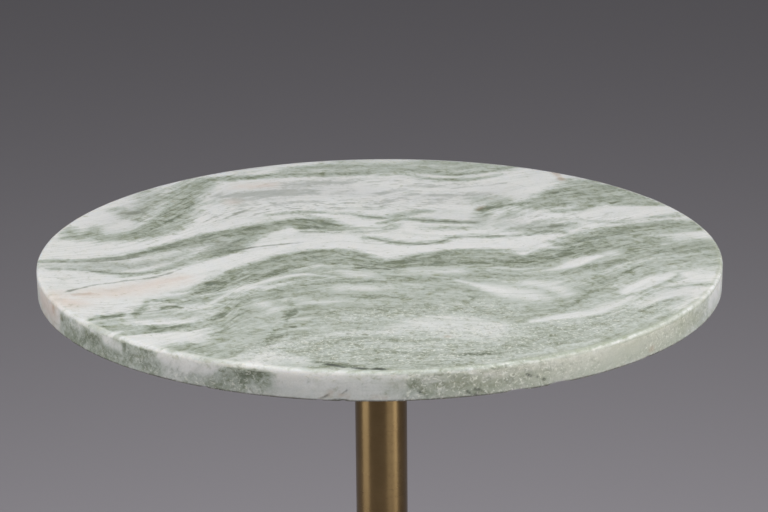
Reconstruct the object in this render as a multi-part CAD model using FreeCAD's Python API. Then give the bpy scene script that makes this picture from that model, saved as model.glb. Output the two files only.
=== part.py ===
"""Wine table: a round marble top on a brass-finished column with a weighted, domed base.

The column is a tube clamped end to end: one long tie rod screws into a spigot welded to the
plate under the stone and is drawn tight by a nut in the underside of the cast base weight.
Four levelling glides screw into the weight and carry the table.

Millimetres, +Z up, origin on the floor under the middle of the base.
"""

import FreeCAD
import Part

import math
import os

# Overall
TABLE_HEIGHT = 560.0

# Marble top
TOP_DIAMETER = 406.0
TOP_THICKNESS = 16.5
TOP_UPPER_EASE = 2.0
TOP_LOWER_EASE = 1.0

# Fixings between the stone and the plate: screw, lock washer and threaded insert
FIXING_COUNT = 4
FIXING_FROM_PLATE_EDGE = 20.0
INSERT_WALL = 1.4
INSERT_LENGTH = 10.0
INSERT_GROOVE_DEPTH = 0.6
INSERT_GROOVE_WIDTH = 2.4
RESIN_BED = 0.25
SCREW_THREAD = 6.0
SCREW_TIP_SHORT_OF_INSERT = 2.0
SCREW_TIP_BEVEL = 0.75
SCREW_HEAD_DIAMETER = 10.5
SCREW_HEAD_HEIGHT = 3.3
SCREW_KEY_WIDTH = 4.0
SCREW_KEY_DEPTH = 2.1
SCREW_HOLE_CLEARANCE = 0.3
LOCK_WASHER_DIAMETER = 11.8
LOCK_WASHER_THICKNESS = 1.6

# Pad and plate under the stone
PAD_THICKNESS = 1.5
PAD_EDGE_INSET = 3.0
PAD_HOLE_CLEARANCE = 1.0
PLATE_DIAMETER = 150.0
PLATE_THICKNESS = 5.0
PLATE_EDGE_BEVEL = 1.2

# Column
STEM_DIAMETER = 31.8
STEM_WALL = 1.5
SPIGOT_CLEARANCE = 0.15
SPIGOT_LENGTH = 18.0
SPIGOT_LEAD_IN = 1.5
SPIGOT_SHOULDER = 3.25
WELD_CLEARANCE = 0.05

# Tie rod and its hardware
ROD_THREAD = 10.0
ROD_END_BELOW_PLATE_TOP = 2.0
ROD_END_PAST_NUT = 2.0
ROD_END_BEVEL = 1.0
ROD_HOLE_CLEARANCE = 0.5
THREAD_CLEARANCE = 0.1
NUT_WIDTH = 17.0
NUT_HEIGHT = 8.0
LOCK_NUT_HEIGHT = 5.0
NUT_CORNER_SLOPE = 30.0
ROD_WASHER_DIAMETER = 30.0
ROD_WASHER_THICKNESS = 2.5
SPRING_WASHER_DIAMETER = 18.0
SPRING_WASHER_THICKNESS = 2.5
WASHER_SPLIT = 1.5
WASHER_SPLIT_SLANT = 30.0

# Base: a spun cover over a cast weight
BASE_DIAMETER = 260.0
BASE_HEIGHT = 36.0
BASE_SEAT_MARGIN = 6.0
BASE_RIM_TOP = 10.0
BASE_RIM_ABOVE_FLOOR = 4.0
BASE_EDGE_ROUND = 5.0
COVER_SHEET = 1.2
COVER_TO_WEIGHT_GAP = 1.0
WEIGHT_HUB_MARGIN = 4.0
WEIGHT_EDGE_BEVEL = 1.5
WEIGHT_SPIGOT_LENGTH = 14.0
NUT_RECESS_SPANNER_ROOM = 6.0
NUT_RECESS_DEPTH_MARGIN = 1.0

# Levelling glides
GLIDE_COUNT = 4
GLIDE_FROM_BASE_EDGE = 32.0
GLIDE_THREAD = 8.0
GLIDE_THREAD_ENGAGED = 12.0
GLIDE_TAP_RUNOUT = 1.0
GLIDE_STUD_TIP_BEVEL = 1.0
GLIDE_FOOT_DIAMETER = 28.0
GLIDE_FOOT_HEIGHT = 6.0
GLIDE_FOOT_TOP_ROUND = 2.0
GLIDE_FOOT_SOLE_ROUND = 0.8
GLIDE_FLANGE_DIAMETER = 15.0
GLIDE_FLANGE_THICKNESS = 2.0
GLIDE_SOLE_THICKNESS = 2.0
GLIDE_MOULD_CLEARANCE = 0.05

# Heights that follow from the sizes above, from the floor up
weight_underside = GLIDE_FOOT_HEIGHT
nut_stack = ROD_WASHER_THICKNESS + SPRING_WASHER_THICKNESS + NUT_HEIGHT + ROD_END_PAST_NUT
recess_top = weight_underside + nut_stack + NUT_RECESS_DEPTH_MARGIN
cover_seat_underside = BASE_HEIGHT - COVER_SHEET
stone_underside = TABLE_HEIGHT - TOP_THICKNESS
plate_top = stone_underside - PAD_THICKNESS
plate_underside = plate_top - PLATE_THICKNESS

# Radii shared by pieces that fit each other
stem_bore_radius = STEM_DIAMETER / 2 - STEM_WALL
spigot_radius = stem_bore_radius - SPIGOT_CLEARANCE
neck_radius = spigot_radius - SPIGOT_SHOULDER
rod_radius = ROD_THREAD / 2
rod_hole_radius = rod_radius + ROD_HOLE_CLEARANCE
rod_tapping_radius = rod_radius + THREAD_CLEARANCE
screw_radius = SCREW_THREAD / 2
screw_hole_radius = screw_radius + SCREW_HOLE_CLEARANCE
screw_tapping_radius = screw_radius + THREAD_CLEARANCE
insert_radius = screw_tapping_radius + INSERT_WALL
glide_radius = GLIDE_THREAD / 2
glide_tapping_radius = glide_radius + THREAD_CLEARANCE

ORIGIN = FreeCAD.Vector(0, 0, 0)
UP = FreeCAD.Vector(0, 0, 1)
EIGHTH_TURN = math.radians(45)
CUT_MARGIN = 1.0


def at(radius, height):
    """Point of a half profile, in the plane through the axis."""
    return FreeCAD.Vector(radius, 0, height)


def polar(centre, radius, angle):
    """Profile point at an angle from a centre, both as (radius, height) pairs."""
    return (centre[0] + radius * math.cos(angle), centre[1] + radius * math.sin(angle))


def turned(start, *steps):
    """Solid turned about Z: each step is a profile point, or a (middle, end) pair for an arc."""
    edges = []
    here = start
    for step in steps + (start,):
        if isinstance(step[0], tuple):
            middle, end = step
            edges.append(Part.Arc(at(*here), at(*middle), at(*end)).toShape())
        else:
            end = step
            edges.append(Part.LineSegment(at(*here), at(*end)).toShape())
        here = end
    return Part.Face(Part.Wire(edges)).revolve(ORIGIN, UP, 360)


def rod(radius, bottom, top):
    """Plain cylinder on the axis between two heights."""
    return Part.makeCylinder(radius, top - bottom, at(0, bottom), UP)


def ring(outer_radius, inner_radius, bottom, top):
    """Flat ring on the axis between two heights."""
    return rod(outer_radius, bottom, top).cut(rod(inner_radius, bottom - CUT_MARGIN, top + CUT_MARGIN))


def hexagon(width, bottom, top):
    """Six-sided prism of a width across flats, on the axis between two heights."""
    corner_radius = width / math.sqrt(3)
    corners = []
    for side in range(7):
        x, y = polar((0, 0), corner_radius, math.radians(60 * side))
        corners.append(FreeCAD.Vector(x, y, bottom))
    return Part.Face(Part.makePolygon(corners)).extrude(UP * (top - bottom))


def hex_nut(width, bottom, top):
    """Nut on the tie rod, its corners turned off to a slope on both faces."""
    corner_radius = width / math.sqrt(3)
    face_radius = width / 2
    corner_drop = (corner_radius - face_radius) * math.tan(math.radians(NUT_CORNER_SLOPE))
    blank = turned(
        (0, bottom),
        (face_radius, bottom),
        (corner_radius, bottom + corner_drop),
        (corner_radius, top - corner_drop),
        (face_radius, top),
        (0, top),
    )
    bore = rod(rod_tapping_radius, bottom - CUT_MARGIN, top + CUT_MARGIN)
    return hexagon(width, bottom, top).common(blank).cut(bore)


def split_washer(outer_radius, inner_radius, bottom, top):
    """Spring washer drawn flat: a ring with one slanting split."""
    radial_width = outer_radius - inner_radius + 2 * CUT_MARGIN
    height = top - bottom + 2 * CUT_MARGIN
    corner = FreeCAD.Vector(inner_radius - CUT_MARGIN, -WASHER_SPLIT / 2, bottom - CUT_MARGIN)
    split = Part.makeBox(radial_width, WASHER_SPLIT, height, corner)
    split.rotate(at(0, (bottom + top) / 2), FreeCAD.Vector(1, 0, 0), WASHER_SPLIT_SLANT)
    return ring(outer_radius, inner_radius, bottom, top).cut(split)


def stations(count, radius):
    """Evenly spaced (angle in degrees, offset from the axis) pairs on a circle of that radius."""
    places = []
    for index in range(count):
        angle = 360.0 * (index + 0.5) / count
        x, y = polar((0, 0), radius, math.radians(angle))
        places.append((angle, FreeCAD.Vector(x, y, 0)))
    return places


def copies(shape, places):
    """Copies of a shape made on the axis, turned to face outwards and set at each place."""
    placed = []
    for angle, offset in places:
        one = shape.copy()
        one.rotate(ORIGIN, UP, angle)
        one.translate(offset)
        placed.append(one)
    return placed


fixing_places = stations(FIXING_COUNT, PLATE_DIAMETER / 2 - FIXING_FROM_PLATE_EDGE)
glide_places = stations(GLIDE_COUNT, BASE_DIAMETER / 2 - GLIDE_FROM_BASE_EDGE)


# Marble top: a disc with both edges eased by hand, and blind holes underneath for the inserts
def marble_top():
    radius = TOP_DIAMETER / 2
    upper_centre = (radius - TOP_UPPER_EASE, TABLE_HEIGHT - TOP_UPPER_EASE)
    lower_centre = (radius - TOP_LOWER_EASE, stone_underside + TOP_LOWER_EASE)
    disc = turned(
        (0, stone_underside),
        (radius - TOP_LOWER_EASE, stone_underside),
        (polar(lower_centre, TOP_LOWER_EASE, -EIGHTH_TURN), (radius, stone_underside + TOP_LOWER_EASE)),
        (radius, TABLE_HEIGHT - TOP_UPPER_EASE),
        (polar(upper_centre, TOP_UPPER_EASE, EIGHTH_TURN), (radius - TOP_UPPER_EASE, TABLE_HEIGHT)),
        (0, TABLE_HEIGHT),
    )
    hole_end = stone_underside + INSERT_LENGTH + RESIN_BED
    hole = rod(insert_radius + RESIN_BED, stone_underside - CUT_MARGIN, hole_end)
    return disc.cut(copies(hole, fixing_places))


# Threaded insert: a brass bush with one keying groove, bedded in resin in the stone
def threaded_insert():
    waist = insert_radius - INSERT_GROOVE_DEPTH
    middle = stone_underside + INSERT_LENGTH / 2
    half_groove = INSERT_GROOVE_WIDTH / 2
    top = stone_underside + INSERT_LENGTH
    return turned(
        (screw_tapping_radius, stone_underside),
        (insert_radius, stone_underside),
        (insert_radius, middle - half_groove - INSERT_GROOVE_DEPTH),
        (waist, middle - half_groove),
        (waist, middle + half_groove),
        (insert_radius, middle + half_groove + INSERT_GROOVE_DEPTH),
        (insert_radius, top),
        (screw_tapping_radius, top),
    )


# Pad: a cork-rubber disc that keeps the steel off the stone
def top_pad():
    disc = rod(PLATE_DIAMETER / 2 - PAD_EDGE_INSET, plate_top, stone_underside)
    hole = rod(insert_radius + PAD_HOLE_CLEARANCE, plate_top - CUT_MARGIN, stone_underside + CUT_MARGIN)
    return disc.cut(copies(hole, fixing_places))


# Plate: a steel disc with a bevelled lower edge, screw holes and a hole for the welded spigot
def top_plate():
    radius = PLATE_DIAMETER / 2
    neck_hole = neck_radius + WELD_CLEARANCE
    disc = turned(
        (neck_hole, plate_underside),
        (radius - PLATE_EDGE_BEVEL, plate_underside),
        (radius, plate_underside + PLATE_EDGE_BEVEL),
        (radius, plate_top),
        (neck_hole, plate_top),
    )
    hole = rod(screw_hole_radius, plate_underside - CUT_MARGIN, plate_top + CUT_MARGIN)
    return disc.cut(copies(hole, fixing_places))


# Screw: a button head with a hexagon socket, driven up through the plate into the insert
def plate_screw():
    seat = plate_underside - LOCK_WASHER_THICKNESS
    head_bottom = seat - SCREW_HEAD_HEIGHT
    head_radius = SCREW_HEAD_DIAMETER / 2
    crown_radius = (head_radius**2 + SCREW_HEAD_HEIGHT**2) / (2 * SCREW_HEAD_HEIGHT)
    crown_centre = (0, head_bottom + crown_radius)
    crown_edge = math.asin(head_radius / crown_radius)
    tip = stone_underside + INSERT_LENGTH - SCREW_TIP_SHORT_OF_INSERT
    blank = turned(
        (0, head_bottom),
        (polar(crown_centre, crown_radius, crown_edge / 2 - math.pi / 2), (head_radius, seat)),
        (screw_radius, seat),
        (screw_radius, tip - SCREW_TIP_BEVEL),
        (screw_radius - SCREW_TIP_BEVEL, tip),
        (0, tip),
    )
    return blank.cut(hexagon(SCREW_KEY_WIDTH, head_bottom - CUT_MARGIN, head_bottom + SCREW_KEY_DEPTH))


# Lock washer under each screw head
def plate_washer():
    seat = plate_underside - LOCK_WASHER_THICKNESS
    return split_washer(LOCK_WASHER_DIAMETER / 2, screw_hole_radius, seat, plate_underside)


# Upper spigot: a turned plug that centres the tube; its neck is welded into the plate
def upper_spigot():
    bottom = plate_underside - SPIGOT_LENGTH
    return turned(
        (rod_tapping_radius, bottom),
        (spigot_radius - SPIGOT_LEAD_IN, bottom),
        (spigot_radius, bottom + SPIGOT_LEAD_IN),
        (spigot_radius, plate_underside),
        (neck_radius, plate_underside),
        (neck_radius, plate_top),
        (rod_tapping_radius, plate_top),
    )


# Stem: a plain tube that stands on the base cover and carries the plate
def stem_tube():
    return ring(STEM_DIAMETER / 2, stem_bore_radius, BASE_HEIGHT, plate_underside)


# Tie rod: runs the whole column, from the upper spigot to the nut in the base
def tie_rod():
    top = plate_top - ROD_END_BELOW_PLATE_TOP
    bottom = recess_top - nut_stack
    return turned(
        (0, bottom),
        (rod_radius - ROD_END_BEVEL, bottom),
        (rod_radius, bottom + ROD_END_BEVEL),
        (rod_radius, top - ROD_END_BEVEL),
        (rod_radius - ROD_END_BEVEL, top),
        (0, top),
    )


# Lock nut: stops the rod from turning in the upper spigot
def rod_lock_nut():
    top = plate_underside - SPIGOT_LENGTH
    return hex_nut(NUT_WIDTH, top - LOCK_NUT_HEIGHT, top)


# Dome of the base: a shallow arc, level at the seat, rounded into an upright rim
base_radius = BASE_DIAMETER / 2
seat_radius = STEM_DIAMETER / 2 + BASE_SEAT_MARGIN
round_centre = (base_radius - BASE_EDGE_ROUND, BASE_RIM_TOP)
dome_run = round_centre[0] - seat_radius
dome_rise = BASE_HEIGHT - BASE_RIM_TOP
dome_radius = (dome_run**2 + dome_rise**2 - BASE_EDGE_ROUND**2) / (2 * (dome_rise - BASE_EDGE_ROUND))
dome_centre = (seat_radius, BASE_HEIGHT - dome_radius)
dome_end_angle = math.atan2(round_centre[1] - dome_centre[1], dome_run)
dome_mid_angle = (dome_end_angle + math.pi / 2) / 2


def domed_solid(inset, bottom, edge_bevel=0.0):
    """Solid under the dome, drawn in by an even inset, down to a flat bottom."""
    sweep_radius = dome_radius - inset
    round_radius = BASE_EDGE_ROUND - inset
    rim_radius = base_radius - inset
    shoulder = polar(dome_centre, sweep_radius, dome_end_angle)
    rim_foot = [(rim_radius, bottom + edge_bevel)]
    if edge_bevel:
        rim_foot.append((rim_radius - edge_bevel, bottom))
    return turned(
        (0, BASE_HEIGHT - inset),
        (seat_radius, BASE_HEIGHT - inset),
        (polar(dome_centre, sweep_radius, dome_mid_angle), shoulder),
        (polar(round_centre, round_radius, dome_end_angle / 2), (rim_radius, BASE_RIM_TOP)),
        *rim_foot,
        (0, bottom),
    )


# Base cover: spun sheet of even thickness, open below, pierced for the weight's spigot
def base_cover():
    outside = domed_solid(0, BASE_RIM_ABOVE_FLOOR)
    inside = domed_solid(COVER_SHEET, BASE_RIM_ABOVE_FLOOR - CUT_MARGIN)
    hole = rod(spigot_radius + SPIGOT_CLEARANCE, 0, BASE_HEIGHT + CUT_MARGIN)
    return outside.cut(inside).cut(hole)


# Base weight: an iron casting that fills the cover, with a hub, a spigot and tapped glide holes
def base_weight():
    body = domed_solid(COVER_SHEET + COVER_TO_WEIGHT_GAP, weight_underside, WEIGHT_EDGE_BEVEL)
    hub = rod(STEM_DIAMETER / 2 + WEIGHT_HUB_MARGIN, weight_underside, cover_seat_underside)
    spigot_top = BASE_HEIGHT + WEIGHT_SPIGOT_LENGTH
    spigot = turned(
        (0, weight_underside),
        (spigot_radius, weight_underside),
        (spigot_radius, spigot_top - SPIGOT_LEAD_IN),
        (spigot_radius - SPIGOT_LEAD_IN, spigot_top),
        (0, spigot_top),
    )
    casting = body.fuse([hub, spigot]).removeSplitter()
    bore = rod(rod_hole_radius, weight_underside - CUT_MARGIN, spigot_top + CUT_MARGIN)
    recess_radius = ROD_WASHER_DIAMETER / 2 + NUT_RECESS_SPANNER_ROOM
    recess = rod(recess_radius, weight_underside - CUT_MARGIN, recess_top)
    tapping_top = weight_underside + GLIDE_THREAD_ENGAGED + GLIDE_TAP_RUNOUT
    tapping = rod(glide_tapping_radius, weight_underside - CUT_MARGIN, tapping_top)
    return casting.cut([bore, recess] + copies(tapping, glide_places))


# Washers and nut that draw the tie rod tight under the weight
spring_washer_top = recess_top - ROD_WASHER_THICKNESS
nut_top = spring_washer_top - SPRING_WASHER_THICKNESS


def base_washer():
    return ring(ROD_WASHER_DIAMETER / 2, rod_hole_radius, spring_washer_top, recess_top)


def base_spring_washer():
    return split_washer(SPRING_WASHER_DIAMETER / 2, rod_hole_radius, nut_top, spring_washer_top)


def base_nut():
    return hex_nut(NUT_WIDTH, nut_top - NUT_HEIGHT, nut_top)


# Glide stud: a flanged threaded stud; the flange is moulded into the foot
def glide_stud():
    flange = GLIDE_FLANGE_DIAMETER / 2
    flange_top = GLIDE_SOLE_THICKNESS + GLIDE_FLANGE_THICKNESS
    top = GLIDE_FOOT_HEIGHT + GLIDE_THREAD_ENGAGED
    return turned(
        (0, GLIDE_SOLE_THICKNESS),
        (flange, GLIDE_SOLE_THICKNESS),
        (flange, flange_top),
        (glide_radius, flange_top),
        (glide_radius, top - GLIDE_STUD_TIP_BEVEL),
        (glide_radius - GLIDE_STUD_TIP_BEVEL, top),
        (0, top),
    )


# Glide foot: a moulded nylon button round the stud's flange, with a flat sole
def glide_foot():
    radius = GLIDE_FOOT_DIAMETER / 2
    sole_centre = (radius - GLIDE_FOOT_SOLE_ROUND, GLIDE_FOOT_SOLE_ROUND)
    top_centre = (radius - GLIDE_FOOT_TOP_ROUND, GLIDE_FOOT_HEIGHT - GLIDE_FOOT_TOP_ROUND)
    button = turned(
        (0, 0),
        (sole_centre[0], 0),
        (polar(sole_centre, GLIDE_FOOT_SOLE_ROUND, -EIGHTH_TURN), (radius, GLIDE_FOOT_SOLE_ROUND)),
        (radius, top_centre[1]),
        (polar(top_centre, GLIDE_FOOT_TOP_ROUND, EIGHTH_TURN), (top_centre[0], GLIDE_FOOT_HEIGHT)),
        (0, GLIDE_FOOT_HEIGHT),
    )
    flange_top = GLIDE_SOLE_THICKNESS + GLIDE_FLANGE_THICKNESS
    pocket_radius = GLIDE_FLANGE_DIAMETER / 2 + GLIDE_MOULD_CLEARANCE
    pocket = rod(pocket_radius, GLIDE_SOLE_THICKNESS, flange_top)
    shank_radius = glide_radius + GLIDE_MOULD_CLEARANCE
    shank_hole = rod(shank_radius, GLIDE_SOLE_THICKNESS, GLIDE_FOOT_HEIGHT + CUT_MARGIN)
    return button.cut([pocket, shank_hole])


single_nodes = {
    "marble_top": marble_top(),
    "top_pad": top_pad(),
    "top_plate": top_plate(),
    "upper_spigot": upper_spigot(),
    "stem_tube": stem_tube(),
    "tie_rod": tie_rod(),
    "rod_lock_nut": rod_lock_nut(),
    "base_cover": base_cover(),
    "base_weight": base_weight(),
    "base_washer": base_washer(),
    "base_spring_washer": base_spring_washer(),
    "base_nut": base_nut(),
}
grouped_nodes = {
    "marble_inserts": Part.makeCompound(copies(threaded_insert(), fixing_places)),
    "plate_screws": Part.makeCompound(copies(plate_screw(), fixing_places)),
    "plate_washers": Part.makeCompound(copies(plate_washer(), fixing_places)),
}
glide_nodes = {}
for number, foot in enumerate(copies(glide_foot(), glide_places), 1):
    glide_nodes[f"glide_foot_{number}"] = foot
for number, stud in enumerate(copies(glide_stud(), glide_places), 1):
    glide_nodes[f"glide_stud_{number}"] = stud

os.makedirs("parts", exist_ok=True)
for name, shape in {**single_nodes, **grouped_nodes, **glide_nodes}.items():
    shape.exportStep(f"parts/{name}.step")
    print(f"{name}: {len(shape.Solids)} solids, {shape.Volume / 1000:.1f} cm3, valid {shape.isValid()}")
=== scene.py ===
import math

import bpy
import numpy as np
from mathutils import Matrix, Vector


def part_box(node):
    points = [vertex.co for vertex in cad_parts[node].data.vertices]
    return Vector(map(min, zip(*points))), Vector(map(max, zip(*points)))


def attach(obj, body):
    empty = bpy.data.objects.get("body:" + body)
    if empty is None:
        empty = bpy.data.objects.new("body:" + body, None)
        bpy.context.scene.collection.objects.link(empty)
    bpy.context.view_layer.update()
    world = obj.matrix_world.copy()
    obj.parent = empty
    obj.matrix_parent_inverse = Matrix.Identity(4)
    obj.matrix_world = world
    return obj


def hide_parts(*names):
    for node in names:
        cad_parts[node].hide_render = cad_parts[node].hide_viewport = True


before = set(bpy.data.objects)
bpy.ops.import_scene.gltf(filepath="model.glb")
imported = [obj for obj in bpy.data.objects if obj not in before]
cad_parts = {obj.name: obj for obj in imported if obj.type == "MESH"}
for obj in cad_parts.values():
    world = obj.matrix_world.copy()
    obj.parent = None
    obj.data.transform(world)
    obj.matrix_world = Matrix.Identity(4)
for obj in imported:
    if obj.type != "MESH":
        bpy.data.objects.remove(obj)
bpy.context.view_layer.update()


# Base weight: the iron casting under the cover that keeps the table upright, seen only from below.
# Sand cast and dipped in black primer, so its skin is matt, a little uneven in tone and pebbled.
# Sizes are written in millimetres, and the frame is in metres.
MM = 0.001


def linear(hex_colour):
    """The linear RGBA of an sRGB hex colour: each channel undoes the sRGB curve."""
    srgb = np.array([int(hex_colour[i:i + 2], 16) for i in (1, 3, 5)]) / 255
    curve = np.where(srgb <= 0.04045, srgb / 12.92, ((srgb + 0.055) / 1.055) ** 2.4)
    return (*curve.tolist(), 1.0)


def empty_material(name):
    """A material whose node tree is empty, ready for its own nodes."""
    material = bpy.data.materials.new(name)
    material.use_nodes = True
    material.node_tree.nodes.clear()
    return material


def add(material, kind, inputs=None, **settings):
    """One node with its settings; an input is a plain value, or the node or socket linked to it.

    Every Mix node mixes colours.
    """
    tree = material.node_tree
    node = tree.nodes.new("ShaderNode" + kind)
    if kind == "Mix":
        node.data_type = "RGBA"
    for key, value in settings.items():
        setattr(node, key, value)
    for key, value in (inputs or {}).items():
        if isinstance(value, bpy.types.Node):
            value = next(socket for socket in value.outputs if socket.enabled)
        if isinstance(value, bpy.types.NodeSocket):
            tree.links.new(value, node.inputs[key])
        else:
            node.inputs[key].default_value = value
    return node


def dress(material, *nodes):
    """Gives the finish to whole nodes of the frame."""
    for node in nodes:
        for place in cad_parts[node].material_slots:
            place.material = material


# A Mix node keeps its two colours at these inputs, and its factor at input 0.
FIRST = 6
SECOND = 7

SAND_GRAIN = 1.4 * MM
PRIMER_PATCH = 22 * MM
iron = empty_material("primed_cast_iron")
place = add(iron, "TexCoord").outputs["Object"]
sand = add(iron, "TexNoise", {"Vector": place, "Scale": 1 / SAND_GRAIN, "Detail": 3.0})
patch = add(iron, "TexNoise", {"Vector": place, "Scale": 1 / PRIMER_PATCH, "Detail": 4.0})
primer = add(iron, "Mix", {0: patch, FIRST: linear("#222324"), SECOND: linear("#38393a")})
matt = add(iron, "MapRange", {"Value": patch, "To Min": 0.5, "To Max": 0.8})
skin = add(iron, "Bump", {"Height": sand, "Strength": 0.5, "Distance": 0.3 * MM})
shader = add(iron, "BsdfPrincipled", {"Base Color": primer, "Roughness": matt, "Normal": skin,
                                      "IOR": 1.5})
add(iron, "OutputMaterial", {"Surface": shader})
dress(iron, "base_weight")


# Washer, spring washer and nut in the recess of the weight: bought steel hardware, barrel plated
# with zinc, which leaves a cool grey with faint blue and straw clouds and a soft tumbled shine.
ZINC_CLOUD = 7 * MM
TUMBLE_MARK = 0.6 * MM
zinc = empty_material("zinc_plated_steel")
place = add(zinc, "TexCoord").outputs["Object"]
cloud = add(zinc, "TexNoise", {"Vector": place, "Scale": 1 / ZINC_CLOUD, "Detail": 3.0})
tumble = add(zinc, "TexNoise", {"Vector": place, "Scale": 1 / TUMBLE_MARK, "Detail": 2.0})
passivated = add(zinc, "Mix", {0: cloud, FIRST: linear("#b3bac1"), SECOND: linear("#cbc8bc")})
shine = add(zinc, "MapRange", {"Value": tumble, "To Min": 0.22, "To Max": 0.5})
dents = add(zinc, "Bump", {"Height": tumble, "Strength": 0.25, "Distance": 0.05 * MM})
shader = add(zinc, "BsdfPrincipled", {"Base Color": passivated, "Metallic": 1.0, "Roughness": shine,
                                      "Normal": dents})
add(zinc, "OutputMaterial", {"Surface": shader})
dress(zinc, "base_washer", "base_spring_washer", "base_nut")


# Levelling glides: a flanged M8 stud, thread rolled and zinc plated, with a nylon foot moulded round
# its flange. Each screws into the weight, so its thread shows when the glide is wound out.
def ring_faces(rows, sides):
    """Quads between each pair of neighbouring rows of points, every row closing on itself."""
    row = np.arange(rows - 1)[:, None] * sides
    here = np.arange(sides)[None, :]
    after = (here + 1) % sides
    quads = np.stack([row + here, row + after, row + sides + after, row + sides + here], axis=-1)
    return quads.reshape(-1, 4)


def make_piece(name, points, faces, crease=35.0):
    """A smooth-shaded mesh of points and faces; edges bent past crease degrees stay sharp."""
    mesh = bpy.data.meshes.new(name)
    mesh.from_pydata(points, [], faces)
    mesh.polygons.foreach_set("use_smooth", np.ones(len(mesh.polygons), dtype=bool))
    mesh.set_sharp_from_angle(angle=math.radians(crease))
    piece = bpy.data.objects.new(name, mesh)
    bpy.context.scene.collection.objects.link(piece)
    return piece


def turned(name, outline, sides, centre=(0.0, 0.0), closed=False, thread=None):
    """A solid of revolution: the outline of (radius, height) carried round a vertical axis.

    The outline runs from bottom to top along the outside. It ends in a pole at either end, or joins
    up with itself when closed. A thread (pitch, depth, which rows) cuts each chosen row inwards by a
    triangle wave of height / pitch less turn, so the groove climbs one pitch in each turn.
    """
    radius, height = np.array(outline, dtype=float).T
    angle = np.linspace(0, 2 * np.pi, sides, endpoint=False)
    reach = np.repeat(radius[:, None], sides, axis=1)
    if thread:
        pitch, depth, cut = thread
        phase = (height[:, None] / pitch - angle[None, :] / (2 * np.pi)) % 1
        reach = reach - np.asarray(cut, dtype=float)[:, None] * depth * np.abs(2 * phase - 1)
    rows = len(radius)
    points = np.stack([
        centre[0] + reach * np.cos(angle),
        centre[1] + reach * np.sin(angle),
        np.repeat(height[:, None], sides, axis=1),
    ], axis=-1).reshape(-1, 3)
    faces = ring_faces(rows, sides).tolist()
    here = np.arange(sides)
    after = (here + 1) % sides
    last = (rows - 1) * sides
    if closed:
        faces += np.stack([last + here, last + after, after, here], axis=-1).tolist()
    else:
        foot = rows * sides
        poles = [(*centre, height[0]), (*centre, height[-1])]
        points = np.concatenate([points, np.array(poles)])
        faces += np.stack([after, here, np.full(sides, foot)], axis=-1).tolist()
        faces += np.stack([last + here, last + after, np.full(sides, foot + 1)], axis=-1).tolist()
    return make_piece(name, points, faces)


GLIDES = (1, 2, 3, 4)
ROWS_A_PITCH = 6
STUD_PITCH = 1.25 * MM
STUD_THREAD_DEPTH = 0.65 * MM
STUD_RADIUS = 4 * MM
FLANGE_THICKNESS = 2 * MM
STUD_SIDES = 48
for number in GLIDES:
    low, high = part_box(f"glide_stud_{number}")
    middle = ((low.x + high.x) / 2, (low.y + high.y) / 2)
    flange = (high.x - low.x) / 2
    neck = low.z + FLANGE_THICKNESS
    lead = STUD_RADIUS - STUD_THREAD_DEPTH
    shank = np.linspace(neck, high.z, int(ROWS_A_PITCH * (high.z - neck) / STUD_PITCH))[1:-1]
    plain = [(flange, low.z), (flange, neck), (STUD_RADIUS, neck)]
    outline = plain + [(STUD_RADIUS, z) for z in shank] + [(lead, high.z)]
    cut = np.concatenate([np.zeros(len(plain)), np.ones(len(shank)), [0]])
    stud = turned(f"threaded_stud_{number}", outline, STUD_SIDES, middle,
                  thread=(STUD_PITCH, STUD_THREAD_DEPTH, cut))
    stud.data.materials.append(zinc)
    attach(stud, f"glide_{number}")
    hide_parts(f"glide_stud_{number}")

# Injection-moulded nylon copies a spark-eroded tool: a fine even grain, drawn coarser than the real
# 0.1 mm so that it shows, with scuffs where the sole has slid.
TOOL_GRAIN = 0.45 * MM
SCUFF = 5 * MM
nylon = empty_material("moulded_black_nylon")
place = add(nylon, "TexCoord").outputs["Object"]
grain = add(nylon, "TexNoise", {"Vector": place, "Scale": 1 / TOOL_GRAIN, "Detail": 2.0})
scuff = add(nylon, "TexNoise", {"Vector": place, "Scale": 1 / SCUFF, "Detail": 5.0, "Roughness": 0.65})
pale = add(nylon, "MapRange", {"Value": scuff, "From Min": 0.5, "From Max": 0.75})
black = add(nylon, "Mix", {0: pale, FIRST: linear("#1d1e1f"), SECOND: linear("#333435")})
rubbed = add(nylon, "MapRange", {"Value": scuff, "To Min": 0.38, "To Max": 0.62})
texture = add(nylon, "Bump", {"Height": grain, "Strength": 0.3, "Distance": 0.05 * MM})
shader = add(nylon, "BsdfPrincipled", {"Base Color": black, "Roughness": rubbed, "Normal": texture,
                                       "IOR": 1.53})
add(nylon, "OutputMaterial", {"Surface": shader})
dress(nylon, *(f"glide_foot_{number}" for number in GLIDES))


# Base cover: thin sheet metal spun over a former into a shallow dome, brass plated, darkened and
# brushed while it turned, so fine rings run round it and the brown patina lies in soft clouds.
low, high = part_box("base_cover")
COVER_SHEET = 1.2 * MM
COVER_EDGE_ROUND = 5 * MM
COVER_RIM_TOP = 10 * MM
COVER_SEAT = 21.9 * MM
COVER_HOLE = 14.4 * MM
COVER_SIDES = 256
DOME_ROWS = 40
ROUND_ROWS = 12
# The wide arc of the dome lies level at the seat and runs into the small arc of the rim without a corner.
dome_run = high.x - COVER_EDGE_ROUND - COVER_SEAT
dome_rise = high.z - COVER_RIM_TOP
dome_radius = ((dome_run ** 2 + dome_rise ** 2 - COVER_EDGE_ROUND ** 2)
               / (2 * (dome_rise - COVER_EDGE_ROUND)))
dome_end = math.atan2(dome_radius - dome_rise, dome_run)


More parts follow.
